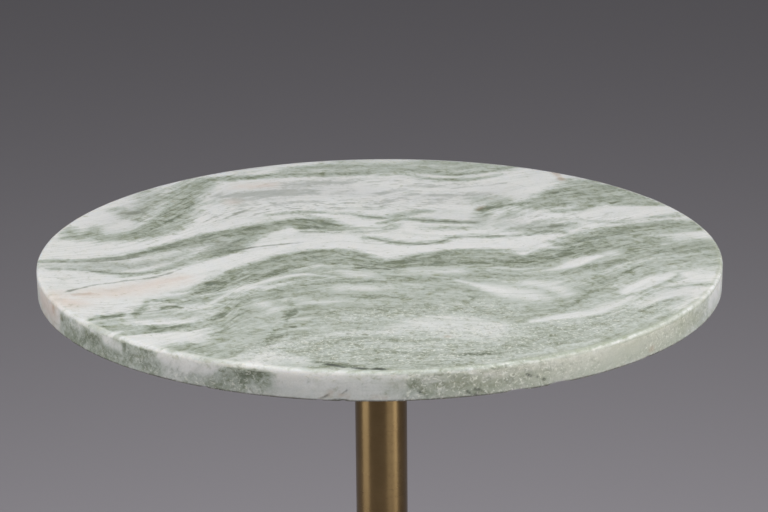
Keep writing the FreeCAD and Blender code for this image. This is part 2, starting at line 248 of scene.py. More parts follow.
def dome_line(inset):
    """The cover's line from its seat out to its rim, drawn in by inset: a wide arc, then a small one."""
    wide = np.linspace(np.pi / 2, dome_end, DOME_ROWS)
    small = np.linspace(dome_end, 0, ROUND_ROWS)[1:]
    reach = [COVER_SEAT + (dome_radius - inset) * np.cos(wide),
             high.x - COVER_EDGE_ROUND + (COVER_EDGE_ROUND - inset) * np.cos(small)]
    height = [high.z - dome_radius + (dome_radius - inset) * np.sin(wide),
              COVER_RIM_TOP + (COVER_EDGE_ROUND - inset) * np.sin(small)]
    return np.stack([np.concatenate(reach), np.concatenate(height)], axis=-1)


cover_outline = np.concatenate([
    [(high.x - COVER_SHEET, low.z), (high.x, low.z)], dome_line(0)[::-1],
    [(COVER_HOLE, high.z), (COVER_HOLE, high.z - COVER_SHEET)], dome_line(COVER_SHEET),
])
cover = turned("spun_base_cover", cover_outline, COVER_SIDES, closed=True)

SPUN_RING = 0.8 * MM
PATINA_CLOUD = 45 * MM
BRASS_LIGHT = "#957e58"
BRASS_DARK = "#806a48"


def antique_brass(material, place):
    """The colour of darkened brass plate: two browns mixed by soft clouds of patina."""
    patina = add(material, "TexNoise", {"Vector": place, "Scale": 1 / PATINA_CLOUD, "Detail": 5.0})
    aged = add(material, "MapRange", {"Value": patina, "From Min": 0.35, "From Max": 0.65})
    return add(material, "Mix", {0: aged, FIRST: linear(BRASS_LIGHT), SECOND: linear(BRASS_DARK)})


spun_brass = empty_material("spun_antique_brass")
place = add(spun_brass, "TexCoord").outputs["Object"]
flat = add(spun_brass, "VectorMath", {0: place, 1: (1.0, 1.0, 0.0)}, operation="MULTIPLY")
radius = add(spun_brass, "VectorMath", {0: flat}, operation="LENGTH").outputs["Value"]
rings = add(spun_brass, "TexNoise", {"W": radius, "Scale": 1 / SPUN_RING, "Detail": 4.0,
                                     "Roughness": 0.7}, noise_dimensions="1D")
brass = antique_brass(spun_brass, place)
satin = add(spun_brass, "MapRange", {"Value": rings, "From Min": 0.3, "From Max": 0.7, "To Min": 0.27,
                                     "To Max": 0.4})
brushed = add(spun_brass, "Bump", {"Height": rings, "Strength": 0.2, "Distance": 0.03 * MM})
shader = add(spun_brass, "BsdfPrincipled", {"Base Color": brass, "Metallic": 1.0, "Roughness": satin,
                                            "Normal": brushed, "Anisotropic": 0.5,
                                            "Anisotropic Rotation": 0.25})
add(spun_brass, "OutputMaterial", {"Surface": shader})
cover.data.materials.append(spun_brass)
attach(cover, "table")
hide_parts("base_cover")


# Stem: a round steel tube, plated and darkened like the cover. Belt polishing on a turning tube
# leaves hair lines round it, so each lamp shows as one soft upright stripe.
low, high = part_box("stem_tube")
STEM_RADIUS = high.x
STEM_WALL = 1.5 * MM
STEM_BREAK = 0.3 * MM
STEM_SIDES = 192
STEM_ROWS = 25
inside = STEM_RADIUS - STEM_WALL
stem_outline = [
    (inside, low.z + STEM_BREAK), (inside + STEM_BREAK, low.z),
    (STEM_RADIUS - STEM_BREAK, low.z), (STEM_RADIUS, low.z + STEM_BREAK),
]
stem_outline += [(STEM_RADIUS, z) for z in np.linspace(low.z, high.z, STEM_ROWS)[1:-1]]
stem_outline += [
    (STEM_RADIUS, high.z - STEM_BREAK), (STEM_RADIUS - STEM_BREAK, high.z),
    (inside + STEM_BREAK, high.z), (inside, high.z - STEM_BREAK),
]
stem = turned("stem_tube_polished", stem_outline, STEM_SIDES, closed=True)

HAIR_LINE = 0.5 * MM
HAIR_LENGTH = 25 * MM
tube_brass = empty_material("belt_polished_antique_brass")
place = add(tube_brass, "TexCoord").outputs["Object"]
round_tube = (1 / HAIR_LENGTH, 1 / HAIR_LENGTH, 1 / HAIR_LINE)
wrapped = add(tube_brass, "Mapping", {"Vector": place, "Scale": round_tube})
hairs = add(tube_brass, "TexNoise", {"Vector": wrapped, "Scale": 1.0, "Detail": 4.0, "Roughness": 0.65})
brass = antique_brass(tube_brass, place)
satin = add(tube_brass, "MapRange", {"Value": hairs, "From Min": 0.3, "From Max": 0.7, "To Min": 0.26,
                                     "To Max": 0.36})
brushed = add(tube_brass, "Bump", {"Height": hairs, "Strength": 0.12, "Distance": 0.02 * MM})
shader = add(tube_brass, "BsdfPrincipled", {"Base Color": brass, "Metallic": 1.0, "Roughness": satin,
                                            "Normal": brushed, "Anisotropic": 0.7,
                                            "Anisotropic Rotation": 0.25})
add(tube_brass, "OutputMaterial", {"Surface": shader})
stem.data.materials.append(tube_brass)
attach(stem, "table")
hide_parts("stem_tube")


# Tie rod with its lock nut and the upper spigot: the rod draws the base, tube and plate together. It
# is threaded over both ends only, and rolled threads are a little smaller than the plain shank.
low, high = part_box("tie_rod")
ROD_RADIUS = high.x
ROD_PITCH = 1.5 * MM
ROD_THREAD_DEPTH = 0.8 * MM
LOWER_THREAD = 48 * MM
UPPER_THREAD = 34 * MM
ROD_SIDES = 32
ROD_TIP = 1 * MM
lower_rows = np.arange(low.z + ROD_TIP, low.z + LOWER_THREAD, ROD_PITCH / ROWS_A_PITCH)
upper_rows = np.arange(high.z - UPPER_THREAD, high.z - ROD_TIP, ROD_PITCH / ROWS_A_PITCH)
rod_heights = np.concatenate([[low.z], lower_rows, upper_rows, [high.z]])
rod_radii = np.full(len(rod_heights), ROD_RADIUS)
rod_radii[[0, -1]] = ROD_RADIUS - ROD_THREAD_DEPTH
rod_cut = np.ones(len(rod_heights))
rod_cut[[0, len(lower_rows), len(lower_rows) + 1, -1]] = 0
rod = turned("threaded_tie_rod", np.stack([rod_radii, rod_heights], axis=-1), ROD_SIDES,
             thread=(ROD_PITCH, ROD_THREAD_DEPTH, rod_cut))
rod.data.materials.append(zinc)
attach(rod, "table")
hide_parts("tie_rod")
dress(zinc, "rod_lock_nut", "upper_spigot")


# Top plate: laser-cut steel under the stone, powder coated black. The powder flows out in the oven
# to a low sheen with a shallow orange peel. Its screws and split washers are zinc plated.
ORANGE_PEEL = 1.6 * MM
powder_coat = empty_material("black_powder_coat")
place = add(powder_coat, "TexCoord").outputs["Object"]
peel = add(powder_coat, "TexNoise", {"Vector": place, "Scale": 1 / ORANGE_PEEL, "Detail": 1.5})
tone = add(powder_coat, "Mix", {0: peel, FIRST: linear("#171717"), SECOND: linear("#232324")})
sheen = add(powder_coat, "MapRange", {"Value": peel, "To Min": 0.38, "To Max": 0.52})
waves = add(powder_coat, "Bump", {"Height": peel, "Strength": 0.25, "Distance": 0.1 * MM})
shader = add(powder_coat, "BsdfPrincipled", {"Base Color": tone, "Roughness": sheen, "Normal": waves,
                                             "IOR": 1.5})
add(powder_coat, "OutputMaterial", {"Surface": shader})
dress(powder_coat, "top_plate")
dress(zinc, "plate_screws", "plate_washers")


# Pad between plate and stone: a punched disc of cork granules bonded in dark rubber, so the stone
# bears evenly. Its edge shows as a thin speckled brown line.
CORK_GRANULE = 1.8 * MM
cork_rubber = empty_material("bonded_cork_rubber")
place = add(cork_rubber, "TexCoord").outputs["Object"]
granule = add(cork_rubber, "TexVoronoi", {"Vector": place, "Scale": 1 / CORK_GRANULE})
pick = add(cork_rubber, "SeparateColor", {"Color": granule.outputs["Color"]})
cork = add(cork_rubber, "Mix", {0: pick.outputs["Red"], FIRST: linear("#5d4630"),
                                SECOND: linear("#9a7a55")})
gap = add(cork_rubber, "MapRange", {"Value": granule.outputs["Distance"], "From Min": 0.35,
                                    "From Max": 0.6})
bonded = add(cork_rubber, "Mix", {0: gap, FIRST: cork, SECOND: linear("#262220")})
pitted = add(cork_rubber, "Bump", {"Height": gap, "Strength": 0.4, "Distance": 0.1 * MM}, invert=True)
shader = add(cork_rubber, "BsdfPrincipled", {"Base Color": bonded, "Roughness": 0.85, "Normal": pitted,
                                             "IOR": 1.5})
add(cork_rubber, "OutputMaterial", {"Surface": shader})
dress(cork_rubber, "top_pad")


# Threaded bushes resin-set in the underside of the stone: free-turning brass bar, so bright yellow
# with fine tool rings round each bush.
TOOL_FEED = 0.4 * MM
BUSH_WIDTH = 8 * MM
turned_brass = empty_material("turned_brass")
place = add(turned_brass, "TexCoord").outputs["Object"]
round_bush = (1 / BUSH_WIDTH, 1 / BUSH_WIDTH, 1 / TOOL_FEED)
feed = add(turned_brass, "Mapping", {"Vector": place, "Scale": round_bush})
tool = add(turned_brass, "TexNoise", {"Vector": feed, "Scale": 1.0, "Detail": 2.0})
bright = add(turned_brass, "Mix", {0: tool, FIRST: linear("#d3b56c"), SECOND: linear("#bb9a52")})
cutting = add(turned_brass, "MapRange", {"Value": tool, "To Min": 0.2, "To Max": 0.38})
shader = add(turned_brass, "BsdfPrincipled", {"Base Color": bright, "Metallic": 1.0,
                                              "Roughness": cutting})
add(turned_brass, "OutputMaterial", {"Surface": shader})
dress(turned_brass, "marble_inserts")


# Marble top: one disc sawn from a block of banded green and white marble, ground round and honed to a
# low sheen, both edges eased by hand. The saw cut folded layers of mica and calcite at a low angle,
# so green bands sweep across the white in loops and lenses, and show again leaning in the edge.
low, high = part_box("marble_top")
TOP_RADIUS = high.x
TOP_FACE = high.z
UNDERSIDE = low.z
GRID = 256
UPPER_EASE = 2.0 * MM
LOWER_EASE = 1.0 * MM
WALL_ROWS = 16
UNDERSIDE_RINGS = np.array([0.8, 0.45, 0.15])


def square_to_disc(count):
    """A square grid of count cells a side carried onto the unit disc.

    Each square ring becomes a circle of the same half width, and the distance along a side becomes
    an even share of that quarter of the circle.
    """
    across = np.linspace(-1, 1, count + 1)
    a, b = np.meshgrid(across, across)
    wide = np.abs(a) > np.abs(b)
    ring = np.where(wide, a, b)
    share = np.where(wide, b, a) / np.where(ring == 0, 1, ring)
    angle = np.where(wide, share * np.pi / 4, np.pi / 2 - share * np.pi / 4)
    return ring * np.cos(angle), ring * np.sin(angle)


def rim_order(count):
    """Indices of the grid's outer points, anticlockwise."""
    index = np.arange((count + 1) ** 2).reshape(count + 1, count + 1)
    return np.concatenate([index[0, :-1], index[:-1, -1], index[-1, :0:-1], index[:0:-1, 0]])


def bumps(angle, marks):
    """The sum of rounded bumps round the rim, each of (degrees from the front, half width, height).

    A bump is its height times (1 less the square of gap / half width) to the power 1.5.
    """
    total = np.zeros_like(angle)
    for at, half_width, size in marks:
        gap = (angle - at + 180) % 360 - 180
        total += size * np.clip(1 - (gap / half_width) ** 2, 0, None) ** 1.5
    return total


def ripples(angle, waves):
    """1 plus the sum of sines round the rim, each of (height, how many round the rim, phase)."""
    total = np.ones_like(angle)
    for size, count, phase in waves:
        total += size * np.sin(angle * count + phase)
    return total


# Chips knocked out of the lower arris in handling: degrees from the front, half width, depth in mm.
# Each reaches CHIP_REACH up the edge, and bites in by CHIP_BITE of its depth.
CHIPS = [
    (-142, 1.6, 0.9), (-118, 1.0, 0.7), (-97, 1.3, 0.8), (-58, 0.9, 0.6), (-27, 0.8, 0.5),
    (-9, 0.5, 0.9), (-5.5, 0.6, 0.5), (20.5, 2.0, 0.9), (27.5, 2.2, 1.3), (45, 0.7, 0.5),
    (83, 1.2, 0.9), (131, 1.5, 0.8), (168, 0.9, 0.6),
]
CHIP_REACH = 1.2 * MM
CHIP_BITE = 0.7
CHIP_RIPPLES = ((0.25, 97, 0), (0.2, 211, 0))
EASE_RIPPLES = ((0.12, 5, 1), (0.1, 23, 0), (0.06, 71, 0))
grid_x, grid_y = square_to_disc(GRID)
rim = rim_order(GRID)
flat_radius = TOP_RADIUS - UPPER_EASE
face_points = np.stack([grid_x.ravel() * flat_radius, grid_y.ravel() * flat_radius,
                        np.full(grid_x.size, TOP_FACE)], axis=-1)
rim_angle = np.arctan2(grid_y.ravel()[rim], grid_x.ravel()[rim])
from_front = np.degrees(rim_angle) + 90
chip = bumps(from_front, CHIPS) * MM
chip *= ripples(np.radians(from_front), CHIP_RIPPLES)
ease_waver = ripples(rim_angle, EASE_RIPPLES)

# Rows down the edge: (inset from the full radius, depth below the face), the easings as quarter arcs.
upper_turn = np.radians([25, 50, 72, 90])
lower_turn = np.radians([0, 35, 62, 90])
wall_foot = TOP_FACE - UNDERSIDE - LOWER_EASE
upper_inset = UPPER_EASE * (1 - np.sin(upper_turn))
upper_depth = UPPER_EASE * (1 - np.cos(upper_turn))
lower_inset = LOWER_EASE * (1 - np.cos(lower_turn))
lower_depth = wall_foot + LOWER_EASE * np.sin(lower_turn)
wall_depth = np.linspace(UPPER_EASE, wall_foot, WALL_ROWS)[1:-1]
inset = np.concatenate([upper_inset, np.zeros(len(wall_depth)), lower_inset])
depth = np.concatenate([upper_depth, wall_depth, lower_depth])
upper_row = np.arange(len(inset)) < len(upper_turn) - 1
row_inset = inset[:, None] * np.where(upper_row[:, None], ease_waver[None, :].clip(max=1.0), 1)
chip_share = np.clip((depth - (wall_foot - CHIP_REACH)) / (LOWER_EASE + CHIP_REACH), 0, 1)
chip_pull = chip_share[:, None] * chip[None, :]
edge_radius = TOP_RADIUS - row_inset - CHIP_BITE * chip_pull
edge_depth = np.broadcast_to(depth[:, None], edge_radius.shape) - chip_pull * (depth > wall_foot)[:, None]
under_radius = UNDERSIDE_RINGS[:, None] * np.ones_like(rim_angle)[None, :] * TOP_RADIUS
edge_radius = np.concatenate([edge_radius, under_radius])
edge_depth = np.concatenate([edge_depth, np.full(under_radius.shape, TOP_FACE - UNDERSIDE)])
edge_points = np.stack([edge_radius * np.cos(rim_angle), edge_radius * np.sin(rim_angle),
                        TOP_FACE - edge_depth], axis=-1)

slab_points = np.concatenate([face_points, edge_points.reshape(-1, 3), [(0.0, 0.0, UNDERSIDE)]])
cell = np.arange((GRID + 1) ** 2).reshape(GRID + 1, GRID + 1)
face_quads = np.stack([cell[:-1, :-1], cell[:-1, 1:], cell[1:, 1:], cell[1:, :-1]], axis=-1).reshape(-1, 4)
sides = len(rim)
first = len(face_points)
below = first + np.arange(sides)
rim_quads = np.stack([rim, below, np.roll(below, -1), np.roll(rim, -1)], axis=-1)
edge_rows = len(edge_radius)
edge_quads = first + ring_faces(edge_rows, sides)[:, ::-1]
last = first + (edge_rows - 1) * sides + np.arange(sides)
centre_fan = np.stack([np.roll(last, -1), last, np.full(sides, len(slab_points) - 1)], axis=-1)
slab_faces = face_quads.tolist() + rim_quads.tolist() + edge_quads.tolist() + centre_fan.tolist()
slab = make_piece("marble_disc", slab_points, slab_faces, crease=60.0)

# The layers as drawn on the face, in mm from its middle, x to the right and y to the back.
# Each band is a list of points (x, y, half width) that a smooth line runs through.
GREEN_BANDS = [
    [(-114, 153, 5), (-98, 157, 5), (-76, 161, 4.5), (-50, 165, 5), (-30, 166, 6), (-8, 166, 4)],
    [(14, 175, 3), (34, 169, 5), (48, 164, 7), (60, 165, 6), (74, 171, 6), (90, 179, 5), (97, 183, 4)],
    [(0, 161, 1), (18, 161, 1), (30, 154, 1.5), (42, 149, 2), (57, 148, 2.5), (70, 152, 2),
     (82, 159, 1.5)], [(-131, 58, 5), (-140, 43, 7), (-152, 34, 6)], [(-154, 84, 3), (-160, 80, 5)],
    [(-200, -17, 3.5), (-178, -17, 3.5), (-158, -12, 4.5), (-140, -3, 5.5), (-125, 8, 8),
     (-112, 17, 10), (-100, 24, 12), (-88, 30, 14), (-76, 42, 12), (-64, 52, 9), (-50, 58, 9),
     (-41, 54, 12), (-30, 46, 9), (-14, 42, 4), (0, 44, 3), (10, 50, 2)],
    [(-80, 30, 9), (-87, 15, 9), (-95, 2, 8), (-104, -10, 6), (-114, -20, 5), (-124, -32, 4),
     (-136, -40, 3.2), (-150, -42, 3), (-162, -37, 3), (-176, -33, 2.6), (-190, -31, 2.6)],
    [(-70, 73, 1.4), (-58, 76, 2), (-40, 78, 2), (-24, 76, 2), (-12, 70, 3), (-3, 65, 2.5), (4, 63, 2),
     (11, 67, 3), (20, 73, 3), (30, 77, 2)],
    [(3, 53, 2), (12, 60, 3), (22, 60, 3), (36, 56, 3.5), (48, 53, 3), (60, 53, 3.5)],
    [(-98, -6, 3), (-84, 2, 2)],
    [(-8, 22, 2), (2, 19, 2), (10, 13, 2.5), (22, 10, 2.5), (34, 13, 2.5), (44, 21, 2.5), (52, 25, 2),
     (62, 23, 1.5), (78, 23, 1.5), (90, 27, 2), (100, 32, 4), (112, 31, 3)],
    [(-102, -77, 5), (-94, -68, 9), (-86, -56, 11), (-75, -43, 12), (-61, -29, 13), (-44, -17, 14),
     (-25, -14, 15), (-8, -24, 10), (5, -29, 9), (22, -25, 12), (45, -18, 15), (65, -19, 16),
     (85, -28, 13), (104, -14, 12), (125, -3, 9)],
    [(-138, -141, 3.5), (-126, -139, 4), (-114, -136, 5), (-102, -133, 5), (-93, -128, 4.5),
     (-87, -118, 4), (-84, -108, 4)],
    [(-106, -89, 2.5), (-116, -92, 2.2), (-124, -90, 2), (-129, -89, 2), (-131, -98, 2),
     (-134, -111, 2)],
]
MID_GREEN_BANDS = [
    [(-117, 152, 8), (-120, 140, 12), (-124, 126, 12), (-128, 112, 13), (-127, 98, 12), (-127, 86, 12),
     (-129, 70, 12), (-133, 55, 14), (-141, 42, 13), (-153, 33, 11), (-168, 27, 7)],
    [(-141, 114, 6), (-148, 98, 7), (-156, 82, 9), (-166, 88, 5)],
    [(118, -100, 4), (130, -90, 4), (140, -80, 3)],
    [(100, -131, 4), (115, -125, 5), (127, -117, 5), (138, -107, 4)],
    [(-5, -118, 6), (15, -116, 7), (35, -117, 7), (55, -124, 5)],
    [(-192, 46, 4), (-186, 30, 5), (-178, 34, 7), (-175, 48, 4)],
    [(-158, 80, 7), (-152, 66, 4), (-145, 60, 3)], [(-122, 97, 3), (-112, 99, 2.5), (-103, 104, 2)],
    [(62, 55, 4), (66, 65, 5), (68, 78, 5), (78, 89, 5), (90, 91, 6), (102, 95, 9), (113, 108, 11),
     (123, 120, 12), (135, 121, 20), (150, 107, 20), (168, 95, 12), (182, 88, 5)],
    [(92, 85, 6), (106, 88, 7), (118, 94, 8)], [(116, 74, 5), (125, 77, 6), (136, 90, 8)],
    [(128, 138, 9), (138, 138, 9)],
    [(112, 8, 8), (124, 18, 10), (140, 26, 11), (158, 32, 13), (176, 38, 13), (196, 44, 11)],
    [(125, -4, 14), (150, 4, 20), (178, 2, 18), (205, 2, 16)],
    [(84, 38, 3), (96, 41, 6), (107, 43, 6), (117, 46, 3)],
    [(-88, -122, 5), (-84, -108, 6), (-80, -94, 6), (-71, -81, 7), (-58, -72, 6), (-45, -64, 6),
     (-25, -60, 6), (0, -58, 7), (25, -56, 6), (50, -50, 6), (75, -46, 5)],
    [(-55, -84, 4), (-49, -100, 5), (-50, -118, 6), (-53, -138, 6), (-60, -158, 6)],
    [(-34, -92, 5), (-10, -87, 5), (12, -87, 6), (30, -88, 7), (44, -93, 7), (53, -103, 7),
     (59, -116, 5), (68, -130, 4), (76, -143, 3)], [(0, -104, 8), (25, -105, 8), (42, -108, 6)],
    [(108, -48, 8), (122, -40, 9), (138, -30, 9), (152, -36, 6)],
    [(85, -118, 3), (99, -108, 6), (111, -96, 6), (120, -80, 6), (131, -64, 6), (146, -50, 6)],
    [(-84, -80, 4), (-96, -83, 5), (-106, -87, 4), (-118, -91, 3)],
    [(-108, -165, 7), (-92, -167, 9), (-78, -171, 8)], [(-152, -126, 5), (-143, -137, 5)],
    [(136, -90, 1.5), (146, -82, 1.5), (156, -72, 1.5), (165, -63, 2), (171, -54, 2), (174, -46, 2)],
    [(134, -108, 1.5), (142, -98, 2), (150, -88, 1.5), (160, -78, 1.5), (172, -72, 1.5),
     (188, -70, 1.5)],
]
PALE_GREEN_BANDS = [
    [(-62, 172, 6), (-30, 180, 16), (0, 184, 18), (30, 182, 18), (60, 178, 14), (85, 180, 8)],
    [(-150, 130, 6), (-150, 112, 8)], [(-134, 96, 5), (-141, 76, 6)],
    [(28, 43, 3), (40, 42, 3), (52, 43, 3), (62, 45, 4)],
    [(-45, 38, 2), (-30, 36, 1.5), (-15, 36, 1.2), (0, 38, 1.2), (10, 42, 1.2)],
    [(74, 48, 4), (77, 60, 5), (82, 72, 5), (76, 98, 9), (66, 100, 8)], [(104, 40, 7), (116, 44, 7)],
    [(88, 42, 4), (98, 43, 5)], [(108, 94, 8), (130, 108, 18), (158, 100, 16)],
    [(100, 52, 1.2), (125, 56, 1.2), (142, 50, 1.4), (156, 53, 1.4), (176, 61, 1.5), (190, 68, 1.5)],
    [(-66, -58, 9), (-40, -42, 12), (0, -44, 20), (50, -40, 22), (100, -42, 24), (130, -45, 26),
     (165, -25, 26), (200, -15, 25)],
    [(-70, -110, 24), (-30, -105, 50), (20, -105, 65), (70, -110, 50), (110, -95, 32)],
    [(-30, -175, 30), (20, -180, 30), (80, -165, 30), (120, -140, 24), (150, -115, 14)],
    [(-198, -24, 4), (-172, -25, 6), (-150, -27, 7), (-132, -20, 7), (-116, -6, 7)],
    [(-126, -93, 5), (-106, -88, 9), (-90, -88, 9)],
    [(-78, -122, 17), (-72, -150, 20), (-84, -172, 18)], [(-148, -130, 12), (-138, -136, 8)],
    [(-134, -118, 3), (-116, -112, 7), (-98, -115, 6)],
    [(118, -138, 8), (136, -122, 9), (151, -107, 8), (166, -95, 5)],
]
DARK_VEINS = [
    [(-98, 157, 1.6), (-86, 159, 2.2)], [(-50, 165, 2.4), (-38, 167, 4), (-28, 166, 3)],
    [(42, 166, 3), (51, 161, 4.5), (62, 165, 3.5)], [(72, 171, 3.4), (90, 179, 3.6)],
    [(92, 40, 2.2), (101, 42, 3.6), (110, 44, 2.2)], [(-112, 146, 1)],
    [(-120, 100, 2), (-122, 86, 3), (-126, 71, 3.4), (-133, 56, 3)], [(-137, 48, 2.6), (-148, 37, 2.6)],
    [(-162, 80, 4), (-155, 79, 3)],
    [(-140, -5, 2), (-112, 17, 3), (-100, 25, 3.5), (-86, 38, 3.5), (-72, 52, 3)],
    [(-46, 44, 5), (-38, 45, 4)], [(-86, 22, 5), (-93, 6, 5), (-99, -6, 4)],
    [(-66, 48, 2), (-60, 56, 2)], [(-18, 72, 1.6), (-5, 66, 1.5)], [(10, 66, 1.5), (20, 72, 1.4)],
    [(22, 60, 1.6), (36, 56, 2), (50, 53, 1.6)], [(66, 60, 1.5), (67, 68, 1.6)],
    [(65, 80, 3.5), (74, 86, 5), (86, 91, 5), (97, 93, 4)], [(112, 110, 2.5), (118, 120, 2.5)],
    [(142, 94, 2), (152, 91, 2)], [(118, 72, 2.4), (125, 75, 2)],
    [(96, 31, 1.8), (104, 33, 2.4), (112, 29, 1.4)], [(128, 24, 2), (136, 28, 2)], [(168, 35, 2.4)],
    [(186, 45, 2.4)], [(-55, -24, 3), (-60, -30, 3)], [(-38, -28, 2)], [(-14, -34, 2.4), (8, -38, 3)],
    [(30, -28, 2), (52, -20, 2.4)], [(80, -36, 4), (88, -26, 4)], [(98, -14, 2), (110, -6, 2)],
    [(-80, -46, 4), (-88, -60, 5.5), (-94, -72, 5)],
    [(-132, -139, 2.6), (-119, -135, 4), (-105, -134, 3.6), (-94, -130, 2.4)],
    [(-157, -120, 2.2), (-148, -116, 2.4), (-142, -112, 1.4)], [(-116, -92, 2.2), (-127, -89, 2.4)],
    [(-131, -98, 1.2), (-134, -110, 1.6)], [(-78, -92, 1.8), (-68, -79, 2)],
    [(-51, -126, 3.2), (-48, -112, 3), (-46, -102, 2)], [(-46, -136, 2.6)],
    [(-55, -138, 2.2), (-58, -147, 2.6)], [(-102, -158, 1.4), (-95, -165, 1.8), (-92, -174, 1.4)],
    [(-84, -176, 1.4), (-74, -171, 1.6)], [(118, -134, 1.2), (130, -126, 1.4)],
    [(138, -119, 1.2), (150, -107, 1.2)], [(156, -101, 1), (163, -95, 1)],
    [(40, -181, 1.8), (54, -178, 3.2)], [(36, -192, 1.4), (44, -193, 2), (50, -192, 1.2)],
    [(-12, -140, 1.4), (0, -141, 1.4)], [(101, -110, 1.8), (112, -95, 2.2)],
    [(142, -49, 2), (150, -38, 2)], [(51, -88, 2), (56, -101, 2)], [(118, -48, 1.8)], [(92, -152, 1.8)],
    [(-120, -103, 0.4), (-116, -99, 1), (-111, -102, 0.4)],
    [(-35, -188, 2), (-28, -190, 4), (-20, -193, 4), (-14, -196, 3)],
    [(-12, -197.5, 2.6), (-5, -198.5, 3), (1, -199, 2.6)],
    [(136, -90, 0.5), (146, -82, 0.5), (156, -72, 0.8), (165, -63, 0.8), (171, -54, 0.8),
     (174, -46, 0.5)],
    [(142, -98, 0.5), (150, -88, 0.8), (160, -78, 0.8), (172, -72, 0.8), (188, -70, 0.5)],
]
FINE_LINES = [
    [(-176, -71, 1.6), (-171, -67, 0.6), (-163, -61, 1.1), (-154, -58, 0.6), (-147, -54, 1.1),
     (-138, -52, 0.6), (-130, -48, 1.1), (-122, -41, 0.9), (-116, -33, 0.4)],
    [(-90, -1, 1.2), (-72, 8, 1), (-58, 12, 0.7), (-46, 15, 0.4)],
    [(-200, -19, 0.9), (-162, -17, 1), (-139, -8, 0.8)],
    [(-199, -29, 0.5), (-168, -36, 0.9), (-151, -41, 0.9), (-136, -40, 0.9), (-119, -31, 0.7)],
    [(-5, 22, 0.6), (6, 15, 1), (24, 9, 1), (38, 15, 0.9), (46, 22, 0.7), (64, 24, 0.6), (92, 25, 0.5)],
    [(-28, 76, 0.8), (-16, 71, 1), (-2, 65, 1), (6, 62, 0.6)],
    [(24, 59, 0.8), (41, 55, 0.9), (58, 52, 0.7)],
    [(-49, 37, 0.4), (-28, 35, 0.6), (-5, 36, 0.5), (9, 42, 0.4)],
    [(-110, 58, 0.3), (-104, 68, 0.6), (-98, 75, 0.3)],
    [(-97, 66, 0.3), (-91, 74, 0.7), (-84, 82, 0.3)], [(-92, 76, 0.2), (-86, 83, 0.6), (-78, 90, 0.3)],
    [(-82, 68, 0.2), (-77, 74, 0.6), (-70, 80, 0.3)], [(-66, 84, 0.3), (-50, 86, 0.4), (-40, 85, 0.3)],
    [(-32, 86, 0.3), (-28, 88, 0.7), (-20, 84, 0.3)],
]
CRACKS = [
    [(-40, -194, 0.3), (-34, -193, 0)], [(-28, -191, 0.9), (-24, -193, 1.4), (-19, -196, 1)],
    [(-14, -197, 1.1), (-10, -198, 1.4), (-7, -198.4, 0.9)],
    [(-4, -199, 1.2), (0, -199, 1.5), (2, -199.6, 1)],
]
WHITE_LENSES = [
    [(-94, -94, 1.2), (-86, -80, 1.6), (-74, -66, 1.8), (-60, -53, 2.2), (-45, -46, 2), (-28, -50, 1)],
    [(84, -47, 0.8), (95, -43, 1.6), (105, -38, 3.4), (113, -31, 5.6), (121, -24, 4.6),
     (129, -17, 2.4)],
    [(82, -129, 2.5), (95, -124, 4), (108, -119, 5), (118, -114, 5), (126, -106, 5), (134, -98, 4),
     (141, -91, 2)], [(138, -83, 3.5), (148, -71, 6), (158, -60, 6), (167, -52, 3)],
    [(177, -52, 4), (185, -58, 6), (196, -58, 6)],
    [(141, -109, 1.5), (152, -97, 2.5), (165, -86, 3.5), (179, -80, 3.5)],
    [(-130, -156, 3), (-115, -150, 4), (-98, -145, 3)],
    [(134, 64, 9), (152, 69, 12), (168, 73, 10), (186, 78, 6)],
    [(44, -59, 1.2), (54, -67, 2.4), (64, -76, 4), (72, -83, 3)], [(87, -2, 5), (85, -11, 2.5)],
    [(32, 160, 1.5), (46, 156, 2), (62, 157, 2), (78, 165, 1.5)],
]
SOFT_CLOUDS = [
    [(180, 16, 6), (190, 22, 7), (202, 22, 6)], [(60, -70, 4), (72, -80, 9), (88, -88, 9)],
    [(84, -66, 4), (98, -72, 6), (103, -84, 6)],
    [(6, -142, 6), (20, -134, 11), (38, -131, 14), (58, -138, 12)], [(-58, -178, 6), (-42, -184, 5)],
    [(30, -150, 4), (62, -150, 4)], [(18, -42, 4), (45, -42, 4)], [(-8, -48, 4), (-20, -44, 4)],
    [(-22, -71, 4), (-5, -72, 4)], [(-42, -93, 3), (-25, -95, 3)], [(-66, -95, 4), (-60, -104, 4)],
    [(20, 196, 5), (-20, 198, 4)], [(95, 186, 6)], [(138, -12, 5)],
    [(-178, 64, 4), (-164, 56, 7), (-161, 44, 5)],
]
GREY_STREAKS = [
    [(-102, 115, 4), (-80, 118, 7), (-60, 121, 7), (-44, 122, 5)],
    [(-92, 106, 2), (-75, 109, 2), (-60, 112, 2)], [(-62, 140, 4), (-42, 143, 6), (-22, 143, 4)],
    [(0, 118, 1.2), (14, 128, 1.2)], [(22, 138, 1.2), (34, 134, 1.2)],
    [(30, 110, 1.2), (50, 116, 1.4), (70, 118, 1.2)],
    [(-8, 88, 1.5), (4, 98, 1.5), (14, 108, 1.5), (24, 118, 1.5)],
    [(30, 92, 1.5), (40, 104, 2), (46, 112, 1.5)], [(-30, 118, 2), (-18, 124, 2)],
    [(50, 128, 1.2), (64, 134, 1.4), (80, 138, 1.2)], [(-66, 96, 1.2), (-52, 100, 1.4), (-40, 98, 1.2)],
    [(-88, 92, 1.2), (-80, 98, 1.2)],
]
VEILS = [
    [(-95, 118, 14), (-40, 126, 18), (10, 112, 8), (40, 106, 12), (75, 118, 14)],
    [(40, 65, 6), (85, 52, 8)], [(-165, 58, 10), (-150, 128, 6)], [(-110, 4, 5), (-96, 14, 5)],
    [(165, -86, 8), (190, -82, 8)], [(-195, -25, 4), (-165, -26, 8), (-140, -24, 9), (-124, -14, 6)],
    [(88, 42, 5), (102, 43, 5)],
]
